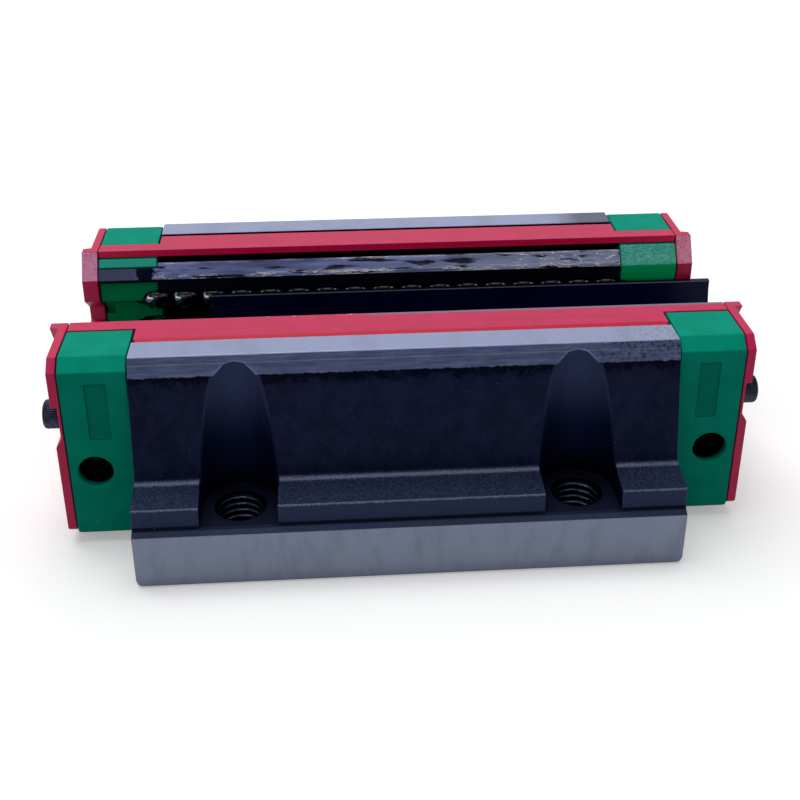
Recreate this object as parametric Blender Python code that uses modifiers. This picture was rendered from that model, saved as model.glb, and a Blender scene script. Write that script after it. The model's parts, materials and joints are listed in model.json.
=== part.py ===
"""Flanged recirculating-ball carriage of a size 45 linear guide, extended length.

It lies on its mounting face, legs up, with its plastic transport rail slid part way out.
X runs along the guide, Y across it, Z up from the mounting face. All sizes are in metres.
An outline across the guide is a list of (y, z) points, and one seen from above is (x, y).
"""
import math

import bmesh
import bpy
from mathutils import Matrix, Vector

# Air between two pieces that bear on each other, and round what passes through
GAP = 0.0003

# Guide rail that the carriage is made for, as the carriage sees it
RAIL_WIDTH = 0.045
RAIL_CROWN = 0.022
RAIL_NOSE = 0.0035
RAIL_NECK = 0.034
RAIL_FOOT = 0.0424
RAIL_FLARE = 0.007
RAIL_GROOVE_FLAT = 0.0018
RAIL_UNDERCUT = 0.0004

# Balls and the four circuits they run in
BALL_DIAMETER = 0.0079375
ROW_INSET = 0.001
ROW_DEPTH = 0.009
ROW_SPACING = 0.011
RETURN_REACH = 0.0115
RETURN_SPACING = 0.0186
TRAIN_START = 0.0072
BALL_CONTACT = 0.12
BALL_SHOULDER = 0.6

# Steel block
STEEL_LENGTH = 0.1288
FLANGE_WIDTH = 0.120
FLANGE_EDGE = 0.014
EDGE_CHAMFER = 0.0006
END_ROUNDING = 0.002
ROOT_SETBACK = 0.0018
ROOT_CHAMFER = 0.0011
ROOT_RISE = 0.0049
ROOT_DRAFT = 0.0004
CREST_RISE = 0.0013
ROOT_FILLET = 0.0018
BODY_ROOT_WIDTH = 0.096
BODY_TIP_WIDTH = 0.0852
TIP_WIDTH = 0.0806
TIP_CHAMFER = 0.0043
TIP_BREAK = 0.0017
FLOOR_CLEARANCE = 0.0034
FLOOR_STEP = 0.0008
LAND_GAP = 0.0005
GROOVE_FOOT = 120
GROOVE_LIP = 105

# Slanting face inside each leg, above the balls
FACET_LOW_WIDTH = 0.035
FACET_OVER_ROW = 0.0067
FACET_RUN = 0.0033
FACET_RISE = 0.0048
STEEL_FACET_RISE = 0.0039
LIP_GROOVE_WIDTH = 0.0016
LIP_GROOVE_DEPTH = 0.0008

# Mounting holes and the pockets milled over them
HOLE_SPACING_X = 0.080
HOLE_SPACING_Y = 0.100
HOLE_DRILL = 0.0102
HOLE_MOUTH = 0.0008
SEAT_HEIGHT = 0.0151
POCKET_WIDTH = 0.0179

# End caps
CAP_LENGTH = 0.016
CAP_BOTTOM = 0.0024
CAP_INSET = 0.0001
CAP_TIP_INSET = 0.0031
CAP_CHAMFER = 0.0028
CAP_CORNER = 0.001
CAP_WALL_FOOT = 0.0031
CAP_LAND_MARGIN = 0.0024
CAP_FLOOR_STEP = 0.002
CAP_FLOOR_TOP = 0.0013
CAP_FLOOR_FOOT = 0.0037
SIDE_PORT_REACH = 0.0099
SIDE_PORT_HEIGHT = 0.0205
SIDE_PORT = 0.0084
SIDE_PORT_DEPTH = 0.005
PANEL_REACH = 0.0078
PANEL_OVER_PORT = 0.0163
PANEL_WIDTH = 0.0049
PANEL_LENGTH = 0.0148
PANEL_DEPTH = 0.0004
GREASE_GROOVE = 0.002
GREASE_GROOVE_DEPTH = 0.0012
NOTCH_LENGTH = 0.0025
NOTCH_HEIGHT = 0.0024
NOTCH_DEPTH = 0.002

# Ball return guides, each a pair of spools on one web
SPOOL_MARGIN = 0.0003
WEB_WIDTH = 0.003
WEB_SINK = 0.00015
WEB_DEPTH = 0.0024

# End seals
SEAL_PLATE = 0.0024
SEAL_BOTTOM = 0.0034
SEAL_RIM = 0.0045
RIM_BAND = 0.0028
RIM_SPREAD = 0.0005
RIM_CORNER = 0.006
RECESS_FLOOR = 0.001
RECESS_ABOVE = 0.0046
RECESS_BELOW = 0.0039
RECESS_INNER = 0.0048
RECESS_SLOPE = 0.0023

# Bottom seals, one along each leg tip
BOTTOM_SEAL_LIP = 0.043
BOTTOM_SEAL_WIDTH = 0.011
BOTTOM_SEAL_TONGUE = 0.0044
BOTTOM_SEAL_SEAT = 0.0023
BOTTOM_SEAL_CORNER = 0.0012
BOTTOM_SEAL_BEVEL = 0.0014
BOTTOM_SEAL_BEVEL_DROP = 0.001

# Ball retainers
STRIP_THICKNESS = 0.0012
STRIP_RISE = 0.0029
STRIP_LIP_WIDTH = 0.0006
STRIP_LIP_DROP = 0.0037
STRIP_LIP_OVER_CAP = 0.0009
RETAINER_REACH = 0.004
RETAINER_WEB = 0.0017
RETAINER_TRAY = 0.018
RETAINER_EDGE = 0.0012

# Screws that hold the end caps
SCREW_BESIDE_BORE = 0.0034
SCREW_TO_SIDE = 0.0054
SCREW_OVER_ROWS = 0.0028
SCREW_DIAMETER = 0.004
SCREW_HEAD = 0.007
SCREW_HEAD_HEIGHT = 0.0042
SCREW_HEAD_EDGE = 0.0004
SCREW_SOCKET = 0.003
SCREW_SOCKET_DEPTH = 0.002
SCREW_GRIP = 0.007

# Plug in each end's grease port
PLUG_DIAMETER = 0.008
PLUG_LENGTH = 0.007
PLUG_SOCKET = 0.004
PLUG_SOCKET_DEPTH = 0.003

# Transport rail
TRANSPORT_LENGTH = 0.1395
TRANSPORT_SHIFT = 0.01975
TRANSPORT_OVER_ROW = 0.0026
TRANSPORT_WALL = 0.0015
TRANSPORT_CLEARANCE = 0.0013
TRANSPORT_WAIST = 0.0012
TRANSPORT_CORNER = 0.0012

# How far a cutter runs past the face it opens
OVERRUN = 0.002

# Faces that meet at less than this many degrees are shaded as one round surface
SMOOTH_ANGLE = 32

# Places that follow from the sizes above
STEEL_END = STEEL_LENGTH / 2
CAP_FACE = STEEL_END + CAP_LENGTH
SEAL_FACE = CAP_FACE + SEAL_PLATE
CARRIAGE_END = CAP_FACE + SEAL_RIM
BALL_RADIUS = BALL_DIAMETER / 2
TUNNEL_RADIUS = BALL_RADIUS + GAP
ROW_Y = RAIL_WIDTH / 2 - ROW_INSET
ROW_MIDDLE = RAIL_CROWN + ROW_DEPTH
BORE_Y = ROW_Y + RETURN_REACH
SCREW_Y = BORE_Y + SCREW_BESIDE_BORE
CAP_SIDE = SCREW_Y + SCREW_TO_SIDE
LAND_Y = RAIL_WIDTH / 2 + LAND_GAP
TIP_ROW = ROW_MIDDLE + ROW_SPACING / 2
FACET_LOW = (FACET_LOW_WIDTH / 2, TIP_ROW + FACET_OVER_ROW)
FACET_TOP = (FACET_LOW[0] + FACET_RUN, FACET_LOW[1] + FACET_RISE)
STRIP_SHARE = STRIP_RISE / FACET_RISE
SEAL_SEAT = FACET_TOP[1]
CARRIAGE_HEIGHT = SEAL_SEAT + BOTTOM_SEAL_SEAT
CAP_TOP = CARRIAGE_HEIGHT - CAP_INSET
CHANNEL_FLOOR = RAIL_CROWN - FLOOR_CLEARANCE
PORT_HEIGHT = (CAP_BOTTOM + CHANNEL_FLOOR) / 2
SCREW_HEIGHT = ROW_MIDDLE + SCREW_OVER_ROWS
PANEL_HEIGHT = SIDE_PORT_HEIGHT + PANEL_OVER_PORT

# Turns an outline's plane and its extrusion to run along X, Y or Z
ALONG = {
    "X": Matrix(((0, 0, 1), (1, 0, 0), (0, 1, 0))),
    "Y": Matrix(((1, 0, 0), (0, 0, -1), (0, 1, 0))),
    "Z": Matrix.Identity(3),
}


def clear_scene():
    """Remove every object that the file opens with"""
    for obj in list(bpy.data.objects):
        bpy.data.objects.remove(obj, do_unlink=True)


def new_collection(name):
    """Make a collection and link it to the scene"""
    collection = bpy.data.collections.new(name)
    bpy.context.scene.collection.children.link(collection)
    return collection


def finish(name, colour, roughness, metallic):
    """Make a plain surface: one colour, one roughness"""
    material = bpy.data.materials.new(name)
    material.use_nodes = True
    shader = material.node_tree.nodes["Principled BSDF"]
    shader.inputs["Base Color"].default_value = (*colour, 1.0)
    shader.inputs["Roughness"].default_value = roughness
    shader.inputs["Metallic"].default_value = metallic
    return material


def arc(centre, radius, start, end, segments):
    """Points along a circle's arc, from one angle to another in degrees"""
    points = []
    for step in range(segments + 1):
        angle = math.radians(start + (end - start) * step / segments)
        points.append((centre[0] + radius * math.cos(angle), centre[1] + radius * math.sin(angle)))
    return points


def circle(centre, radius, segments):
    """Points round a full circle, each once"""
    return arc(centre, radius, 0, 360, segments)[:-1]


def rectangle(low, high):
    """Corners of an upright rectangle"""
    return [low, (high[0], low[1]), high, (low[0], high[1])]


def other_side(points):
    """The same points on the other leg, in the opposite order"""
    return [(-y, z) for y, z in reversed(points)]


def offset_path(points, distance):
    """Shift an open line sideways, to its left where distance is positive, with mitred corners"""
    normals = []
    for (ax, ay), (bx, by) in zip(points, points[1:]):
        length = math.hypot(bx - ax, by - ay)
        normals.append((-(by - ay) / length, (bx - ax) / length))
    shifted = []
    for index, (x, y) in enumerate(points):
        before = normals[max(index - 1, 0)]
        after = normals[min(index, len(normals) - 1)]
        share = 1 + before[0] * after[0] + before[1] * after[1]
        shifted.append((x + distance * (before[0] + after[0]) / share,
                        y + distance * (before[1] + after[1]) / share))
    return shifted


def link_mesh(name, mesh, collection):
    """Put a mesh into a new object of the same name"""
    obj = bpy.data.objects.new(name, mesh)
    collection.objects.link(obj)
    return obj


def settle(obj):
    """Replace an object by the plain mesh it evaluates to, welded and in the same place"""
    bpy.context.view_layer.update()
    evaluated = obj.evaluated_get(bpy.context.evaluated_depsgraph_get())
    mesh = bpy.data.meshes.new_from_object(evaluated)
    shape = bmesh.new()
    shape.from_mesh(mesh)
    bmesh.ops.remove_doubles(shape, verts=shape.verts, dist=1e-6)
    bmesh.ops.recalc_face_normals(shape, faces=shape.faces)
    shape.to_mesh(mesh)
    shape.free()
    name = obj.name
    place = obj.matrix_world.copy()
    collection = obj.users_collection[0]
    bpy.data.objects.remove(obj, do_unlink=True)
    mesh.name = name
    plain = link_mesh(name, mesh, collection)
    plain.matrix_world = place
    return plain


def prism(name, outlines, axis, start, end, collection):
    """Extrude flat outlines along an axis; an outline inside another is a hole"""
    curve = bpy.data.curves.new(name, "CURVE")
    curve.dimensions = "2D"
    curve.fill_mode = "BOTH"
    curve.extrude = (end - start) / 2
    for outline in outlines:
        spline = curve.splines.new("POLY")
        spline.points.add(len(outline) - 1)
        for point, (u, v) in zip(spline.points, outline):
            point.co = (u, v, 0, 1)
        spline.use_cyclic_u = True
    obj = bpy.data.objects.new(name, curve)
    collection.objects.link(obj)
    turn = ALONG[axis].to_4x4()
    middle = Vector((0, 0, (start + end) / 2))
    if axis == "Y":
        middle = -middle
    obj.matrix_world = turn @ Matrix.Translation(middle)
    return settle(obj)


def bar(name, start, end, radius, segments, collection):
    """A straight round bar, or a hexagonal one with six segments, between two points"""
    start = Vector(start)
    end = Vector(end)
    shape = bmesh.new()
    bmesh.ops.create_cone(shape, cap_ends=True, segments=segments, radius1=radius,
                          radius2=radius, depth=(end - start).length)
    mesh = bpy.data.meshes.new(name)
    shape.to_mesh(mesh)
    shape.free()
    obj = link_mesh(name, mesh, collection)
    turn = (end - start).to_track_quat("Z", "Y").to_matrix().to_4x4()
    obj.matrix_world = Matrix.Translation((start + end) / 2) @ turn
    return obj


def turned(name, profile, steps, collection):
    """Turn a profile of (radius, height) points, listed from top to bottom, about Z"""
    mesh = bpy.data.meshes.new(name)
    edges = [(index, index + 1) for index in range(len(profile) - 1)]
    mesh.from_pydata([(radius, 0, height) for radius, height in profile], edges, [])
    obj = link_mesh(name, mesh, collection)
    screw = obj.modifiers.new("turn", "SCREW")
    screw.axis = "Z"
    screw.steps = steps
    screw.render_steps = steps
    screw.use_merge_vertices = True
    screw.merge_threshold = 0.00001
    return settle(obj)


def boolean(target, tool, operation):
    """Cut a tool from a piece, or join it on"""
    modifier = target.modifiers.new(tool.name, "BOOLEAN")
    modifier.operation = operation
    modifier.solver = "EXACT"
    modifier.object = tool
    tool.display_type = "WIRE"
    tool.hide_render = True


def half_turned_copy(piece, name):
    """The same piece for the opposite corner, turned half round about Z"""
    twin = bpy.data.objects.new(name, piece.data)
    piece.users_collection[0].objects.link(twin)
    twin.matrix_world = Matrix.Rotation(math.pi, 4, "Z") @ piece.matrix_world
    return twin


def row(side):
    """Centre of a leg's load row: side is 1 by the leg tip and -1 by the root"""
    return ROW_Y, ROW_MIDDLE + side * ROW_SPACING / 2


def return_bore(side):
    """Centre of the bore in which the same row's balls run back"""
    return BORE_Y, ROW_MIDDLE + side * RETURN_SPACING / 2


def turn_centre(side):
    """Middle of the half circle between a load row and its return bore"""
    (row_y, row_z), (bore_y, bore_z) = row(side), return_bore(side)
    return (row_y + bore_y) / 2, (row_z + bore_z) / 2


def turn_radius(side):
    """Radius of that half circle"""
    (row_y, row_z), (bore_y, bore_z) = row(side), return_bore(side)
    return math.hypot(bore_y - row_y, bore_z - row_z) / 2


def turn_direction(side):
    """Unit vector across the guide from a load row to its return bore"""
    (row_y, row_z), (bore_y, bore_z) = row(side), return_bore(side)
    return Vector((0, bore_y - row_y, bore_z - row_z)).normalized()


def along_facet(share, depth):
    """A point on the slanting face, by its share of the way up and its depth into the leg"""
    low = Vector(FACET_LOW)
    slope = Vector(FACET_TOP) - low
    into = Vector((slope.y, -slope.x)).normalized()
    point = low + slope * share + into * depth
    return point.x, point.y


def facet_points(rise, with_strip):
    """Slanting face down to its foot, its lower half sunk where a retainer strip lies"""
    high = along_facet(rise / FACET_RISE, 0)
    if not with_strip:
        return [high, FACET_LOW]
    sunk = STRIP_THICKNESS + GAP
    return [high, along_facet(STRIP_SHARE, 0), along_facet(STRIP_SHARE, sunk), along_facet(0, sunk)]


def groove_foot():
    """Angle at which the root row's groove ends on the channel floor's side"""
    return -GROOVE_FOOT


def floor_corner():
    """Corner of the channel floor, just inside the root row's groove"""
    foot = arc(row(-1), TUNNEL_RADIUS, groove_foot(), groove_foot(), 1)[0]
    return foot[0] - FLOOR_STEP, CHANNEL_FLOOR


def steel_channel():
    """Inner side of a leg, from the slanting face past both grooves to the channel floor"""
    land = math.degrees(math.acos((LAND_Y - ROW_Y) / TUNNEL_RADIUS))
    tip_groove = arc(row(1), TUNNEL_RADIUS, GROOVE_LIP, -land, 8)
    root_groove = arc(row(-1), TUNNEL_RADIUS, land, groove_foot(), 8)
    facet = facet_points(STEEL_FACET_RISE, True)
    crest_y, crest_z = facet[0]
    wall = BOTTOM_SEAL_LIP / 2 + LIP_GROOVE_DEPTH
    lip_groove = [
        (wall, SEAL_SEAT),
        (wall, crest_z - LIP_GROOVE_DEPTH),
        (wall - LIP_GROOVE_WIDTH, crest_z - LIP_GROOVE_DEPTH),
    ]
    return lip_groove + facet + tip_groove + root_groove + [floor_corner()]


def steel_outside():
    """Outer side of the block, from the mounting face to the bottom seal's seat"""
    edge = FLANGE_WIDTH / 2
    root = edge - ROOT_SETBACK
    root_foot = FLANGE_EDGE + ROOT_CHAMFER
    crest = root_foot + ROOT_RISE + CREST_RISE
    seat_wall = (BOTTOM_SEAL_LIP / 2) + BOTTOM_SEAL_WIDTH + GAP
    return [
        (edge - EDGE_CHAMFER, 0),
        (edge, EDGE_CHAMFER),
        (edge, FLANGE_EDGE),
        (root, root_foot),
        (root - ROOT_DRAFT, root_foot + ROOT_RISE),
        (BODY_ROOT_WIDTH / 2 + ROOT_FILLET, crest),
        (BODY_ROOT_WIDTH / 2 + ROOT_FILLET / 3, crest + ROOT_FILLET / 3),
        (BODY_ROOT_WIDTH / 2, crest + ROOT_FILLET),
        (BODY_TIP_WIDTH / 2, CARRIAGE_HEIGHT - TIP_CHAMFER),
        ((BODY_TIP_WIDTH + TIP_WIDTH) / 4, CARRIAGE_HEIGHT - TIP_BREAK),
        (TIP_WIDTH / 2, CARRIAGE_HEIGHT),
        (seat_wall, CARRIAGE_HEIGHT),
        (seat_wall, SEAL_SEAT),
    ]


def pocket_cutter(x, y, collection):
    """Slot from a bolt seat up through the leg's side and out past the flange edge"""
    outward = math.copysign(1, y)
    radius = POCKET_WIDTH / 2
    reach = FLANGE_WIDTH / 2 + OVERRUN
    start = 180 if outward > 0 else 0
    outline = arc((x, y), radius, start, start + 180, 12)
    outline.append((outline[-1][0], outward * reach))
    outline.append((outline[0][0], outward * reach))
    return prism("pocket_cutter", [outline], "Z", SEAT_HEIGHT, CARRIAGE_HEIGHT + OVERRUN, collection)


def hole_cutter(x, y, collection):
    """Tapping drill right through the flange, with a chamfered mouth at the seat"""
    radius = HOLE_DRILL / 2
    wide = radius + HOLE_MOUTH + OVERRUN
    profile = [
        (0, SEAT_HEIGHT + OVERRUN),
        (wide, SEAT_HEIGHT + OVERRUN),
        (radius, SEAT_HEIGHT - HOLE_MOUTH),
        (radius, -OVERRUN),
        (0, -OVERRUN),
    ]
    cutter = turned("hole_cutter", profile, 20, collection)
    cutter.location = (x, y, 0)
    return cutter


def end_rounding_cutter(end, collection):
    """Sliver outside the round on an end edge of the mounting face"""
    x = end * STEEL_END
    centre = (x - end * END_ROUNDING, END_ROUNDING)
    start, stop = (270, 360) if end > 0 else (270, 180)
    outline = arc(centre, END_ROUNDING, start, stop, 4)
    outline.append((x + end * OVERRUN, END_ROUNDING))
    outline.append((x + end * OVERRUN, -OVERRUN))
    outline.append((centre[0], -OVERRUN))
    reach = FLANGE_WIDTH / 2 + OVERRUN
    return prism("end_rounding_cutter", [outline], "Y", -reach, reach, collection)


def screw_hole_cutter(x_from, x_to, y, collection):
    """Clearance hole for an end cap screw"""
    radius = SCREW_DIAMETER / 2 + GAP
    return bar("screw_hole_cutter", (x_from, y, SCREW_HEIGHT), (x_to, y, SCREW_HEIGHT), radius, 12,
               collection)


def make_block(parts, cutters):
    """Hardened steel block: flange, two legs, ball grooves, return bores and bolt pockets"""
    half = [(0, 0)] + steel_outside() + steel_channel()
    outline = half + other_side(half)[:-1]
    bores = []
    for side in (-1, 1):
        y, z = return_bore(side)
        bores.append(circle((y, z), TUNNEL_RADIUS, 16))
        bores.append(circle((-y, z), TUNNEL_RADIUS, 16))
    block = prism("block", [outline] + bores, "X", -STEEL_END, STEEL_END, parts)
    for end in (-1, 1):
        boolean(block, end_rounding_cutter(end, cutters), "DIFFERENCE")
        for leg in (-1, 1):
            x = end * HOLE_SPACING_X / 2
            y = leg * HOLE_SPACING_Y / 2
            boolean(block, pocket_cutter(x, y, cutters), "DIFFERENCE")
            boolean(block, hole_cutter(x, y, cutters), "DIFFERENCE")
            blind = end * (STEEL_END - SCREW_GRIP - OVERRUN)
            mouth = end * (STEEL_END + OVERRUN)
            boolean(block, screw_hole_cutter(blind, mouth, leg * SCREW_Y, cutters), "DIFFERENCE")
    return settle(block)


def cap_channel(with_strip):
    """Inner side of an end cap's leg, from its top face to the channel floor"""
    tongue_wall = BOTTOM_SEAL_LIP / 2 + BOTTOM_SEAL_TONGUE + GAP
    corner_y, corner_z = floor_corner()
    root_z = row(-1)[1]
    tip_z = row(1)[1]
    set_back = FACET_LOW[0] + STRIP_LIP_WIDTH + GAP
    wall = set_back if with_strip else FACET_LOW[0]
    return [
        (tongue_wall, CAP_TOP),
        (tongue_wall, SEAL_SEAT),
    ] + facet_points(FACET_RISE, with_strip) + [
        (wall, tip_z + CAP_WALL_FOOT),
        (set_back, tip_z),
        (LAND_Y, tip_z - CAP_LAND_MARGIN),
        (LAND_Y, root_z + CAP_LAND_MARGIN),
        (corner_y + CAP_FLOOR_STEP, root_z - CAP_FLOOR_TOP),
        (corner_y + CAP_FLOOR_STEP, root_z - CAP_FLOOR_FOOT),
        (corner_y, corner_z),
    ]


def cap_outside(bottom):
    """Outer side of an end cap or end seal, from its bottom to the top face"""
    return [
        (CAP_SIDE - CAP_CORNER, bottom),
        (CAP_SIDE, bottom + CAP_CORNER),
        (CAP_SIDE, CAP_TOP - CAP_CHAMFER),
        (CAP_SIDE - CAP_TIP_INSET, CAP_TOP),
    ]


def turn_frame(side, leg):
    """Placement of a piece turned about a turnaround's axis, at the block's end face"""
    across = turn_direction(side)
    across.y *= leg
    centre_y, centre_z = turn_centre(side)
    rows = Matrix.Identity(3)
    rows.col[0] = Vector((1, 0, 0))
    rows.col[1] = across
    rows.col[2] = Vector((1, 0, 0)).cross(across)
    return Matrix.Translation((STEEL_END, leg * centre_y, centre_z)) @ rows.to_4x4()


def turnaround_cutter(side, leg, collection):
    """Disc with a round rim, half of it the space in which the balls turn back"""
    radius = turn_radius(side)
    rounded = arc((radius, 0), TUNNEL_RADIUS, 90, -90, 8)
    profile = [(0, TUNNEL_RADIUS)] + rounded + [(0, -TUNNEL_RADIUS)]
    cutter = turned("turnaround_cutter", profile, 20, collection)
    cutter.matrix_world = turn_frame(side, leg)
    return cutter


def web_span(margin):
    """Rectangle across the guide that the web of a return guide fills, grown by a margin"""
    middle = turn_centre(1)[0]
    apart = (turn_centre(1)[1] - turn_centre(-1)[1]) / 2
    reach = apart - TUNNEL_RADIUS + SPOOL_MARGIN + WEB_SINK
    low = (middle - WEB_WIDTH / 2 - margin, ROW_MIDDLE - reach)
    high = (middle + WEB_WIDTH / 2 + margin, ROW_MIDDLE + reach)
    return low, high


def web(name, leg, margin, start, end, collection):
    """Bar between the two spools of a return guide"""
    low, high = web_span(margin)
    outline = rectangle(low, high)
    if leg < 0:
        outline = other_side(outline)
    return prism(name, [outline], "X", start, end, collection)


def grease_groove_cutter(leg, collection):
    """Groove in the cap's inner face that leads grease from the port to a leg's turnarounds"""
    half = GREASE_GROOVE / 2
    middle = turn_centre(-1)[0]
    top = turn_centre(-1)[1] - TUNNEL_RADIUS + GAP
    outline = [
        (0, PORT_HEIGHT - half),
        (middle + half, PORT_HEIGHT - half),
        (middle + half, top),
        (middle - half, top),
        (middle - half, PORT_HEIGHT + half),
        (0, PORT_HEIGHT + half),
    ]
    if leg < 0:
        outline = other_side(outline)
    depth = STEEL_END + GAP + GREASE_GROOVE_DEPTH
    return prism("grease_groove_cutter", [outline], "X", STEEL_END - OVERRUN, depth, collection)


def side_cutters(leg, collection):
    """Blind grease port and sunk, bare label panel in the side face of an end cap"""
    side = leg * CAP_SIDE
    port_x = STEEL_END + SIDE_PORT_REACH
    port = bar("side_port_cutter", (port_x, side - leg * SIDE_PORT_DEPTH, SIDE_PORT_HEIGHT),
               (port_x, side + leg * OVERRUN, SIDE_PORT_HEIGHT), SIDE_PORT / 2, 20, collection)
    panel_x = STEEL_END + PANEL_REACH
    outline = rectangle((panel_x - PANEL_WIDTH / 2, PANEL_HEIGHT - PANEL_LENGTH / 2),
                        (panel_x + PANEL_WIDTH / 2, PANEL_HEIGHT + PANEL_LENGTH / 2))
    faces = sorted((side - leg * PANEL_DEPTH, side + leg * OVERRUN))
    panel = prism("panel_cutter", [outline], "Y", faces[0], faces[1], collection)
    return [port, panel]


def notch_cutter(leg, collection):
    """Small notch in the channel's side, at the outer end of a cap"""
    top = ROW_MIDDLE + RAIL_NOSE / 2 + GAP
    outline = rectangle((LAND_Y - OVERRUN, top - NOTCH_HEIGHT), (LAND_Y + NOTCH_DEPTH, top))
    if leg < 0:
        outline = other_side(outline)
    return prism("notch_cutter", [outline], "X", CAP_FACE - NOTCH_LENGTH, CAP_FACE + OVERRUN, collection)


def port_cutter(x_from, x_to, collection):
    """Hole for the grease port's plug"""
    radius = PLUG_DIAMETER / 2 + GAP
    return bar("port_cutter", (x_from, 0, PORT_HEIGHT), (x_to, 0, PORT_HEIGHT), radius, 20, collection)


def make_end_cap(parts, cutters):
    """Moulded cap for the right end, with the turnarounds of all four circuits"""
    outside = cap_outside(CAP_BOTTOM)
    rear = outside + cap_channel(False)
    front = other_side(outside + cap_channel(True))
    cap = prism("end_cap_right", [rear + front], "X", STEEL_END + GAP, CAP_FACE, parts)
    inner = STEEL_END - OVERRUN
    outer = CAP_FACE + OVERRUN
    boolean(cap, port_cutter(inner, outer, cutters), "DIFFERENCE")
    for leg in (-1, 1):
        for side in (-1, 1):
            boolean(cap, turnaround_cutter(side, leg, cutters), "DIFFERENCE")
        depth = STEEL_END + GAP + WEB_DEPTH + GAP
        boolean(cap, web("web_cutter", leg, GAP, inner, depth, cutters), "DIFFERENCE")
        boolean(cap, grease_groove_cutter(leg, cutters), "DIFFERENCE")
        boolean(cap, notch_cutter(leg, cutters), "DIFFERENCE")
        boolean(cap, screw_hole_cutter(inner, outer, leg * SCREW_Y, cutters), "DIFFERENCE")
        for cutter in side_cutters(leg, cutters):
            boolean(cap, cutter, "DIFFERENCE")
    return settle(cap)


def spool(side, leg, collection):
    """Core round which the balls of one circuit turn"""
    radius = turn_radius(side)
    half = TUNNEL_RADIUS - SPOOL_MARGIN
    lean = math.degrees(math.asin(half / TUNNEL_RADIUS))
    groove = arc((radius, 0), TUNNEL_RADIUS, 180 - lean, 180 + lean, 8)
    core = turned("spool", [(0, half)] + groove + [(0, -half)], 20, collection)
    core.matrix_world = turn_frame(side, leg)
    return core


def make_return_guide(leg, name, parts, cutters):
    """Return guide of one leg at the right end: two half spools on a web"""
    start = STEEL_END + GAP
    guide = web(name, leg, 0, start, start + WEB_DEPTH, parts)
    for side in (-1, 1):
        boolean(guide, spool(side, leg, cutters), "UNION")
    reach = RETURN_REACH
    middle = leg * turn_centre(1)[0]
    outline = rectangle((middle - reach, ROW_MIDDLE - RETURN_SPACING),
                        (middle + reach, ROW_MIDDLE + RETURN_SPACING))
    behind = prism("behind_cutter", [outline], "X", start - RETURN_REACH, start, cutters)
    boolean(guide, behind, "DIFFERENCE")
    return settle(guide)


def rail_half():
    """One side of the guide rail's outline, from its crown to its foot"""
    half = RAIL_WIDTH / 2
    neck = RAIL_NECK / 2
    root_y, root_z = row(-1)
    groove = root_y - BALL_RADIUS
    return [
        (root_y - BALL_RADIUS / 2, RAIL_CROWN),
        (groove, root_z - RAIL_GROOVE_FLAT / 2),
        (groove, root_z + RAIL_GROOVE_FLAT / 2),
        (half, ROW_MIDDLE - RAIL_NOSE / 2),
        (half, ROW_MIDDLE + RAIL_NOSE / 2),
        (neck, row(1)[1] + RAIL_UNDERCUT),
        (neck, CARRIAGE_HEIGHT - RAIL_FLARE),
        (RAIL_FOOT / 2, CARRIAGE_HEIGHT),
    ]


def rail_channel():
    """Outline of the opening that clears the guide rail, past the tips of the legs"""
    right = rail_half()
    whole = offset_path(other_side(right) + right, -GAP)
    high = CARRIAGE_HEIGHT + OVERRUN
    return [(whole[0][0], high)] + whole + [(whole[-1][0], high)]


def rim_outline(band):
    """Outline round the rail opening at an even distance, with its lower corners cut off"""
    side = RAIL_WIDTH / 2 + band
    neck = RAIL_NECK / 2 + band
    low = RAIL_CROWN - band
    right = [
        (side - RIM_CORNER, low),
        (side, low + RIM_CORNER),
        (side, ROW_MIDDLE + RAIL_NOSE / 2),
        (neck, TIP_ROW + RAIL_UNDERCUT),
        (neck, CARRIAGE_HEIGHT - RAIL_FLARE),
        (RAIL_FOOT / 2 + band, CAP_TOP),
    ]
    return other_side(right) + right


def rim(collection):
    """Raised band round the rail opening, slightly narrower at its lip"""
    sink = SEAL_PLATE / 2
    growth = RIM_SPREAD / (CARRIAGE_END - SEAL_FACE)
    foot = rim_outline(RIM_BAND + RIM_SPREAD + growth * sink)
    lip = rim_outline(RIM_BAND)
    band = prism("seal_rim", [foot], "X", SEAL_FACE - sink, CARRIAGE_END, collection)
    for vertex in band.data.vertices:
        x, y, z = band.matrix_world @ vertex.co
        if x < SEAL_FACE:
            continue
        nearest = min(range(len(foot)), key=lambda index: math.dist(foot[index], (y, z)))
        vertex.co = band.matrix_world.inverted() @ Vector((x, *lip[nearest]))
    return band


def recess_cutter(leg, collection):
    """Flat sunk into an end seal for a screw head, open to the side, with a sloping lower end"""
    floor = CAP_FACE + RECESS_FLOOR
    above = SCREW_HEIGHT + RECESS_ABOVE
    below = SCREW_HEIGHT - RECESS_BELOW
    past = SEAL_FACE + OVERRUN
    outline = [
        (floor, below),
        (SEAL_FACE, below - RECESS_SLOPE),
        (past, below - RECESS_SLOPE),
        (past, above),
        (floor, above),
    ]
    inner = leg * (SCREW_Y - RECESS_INNER)
    faces = sorted((inner, leg * (CAP_SIDE + OVERRUN)))
    return prism("recess_cutter", [outline], "Y", faces[0], faces[1], collection)


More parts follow.
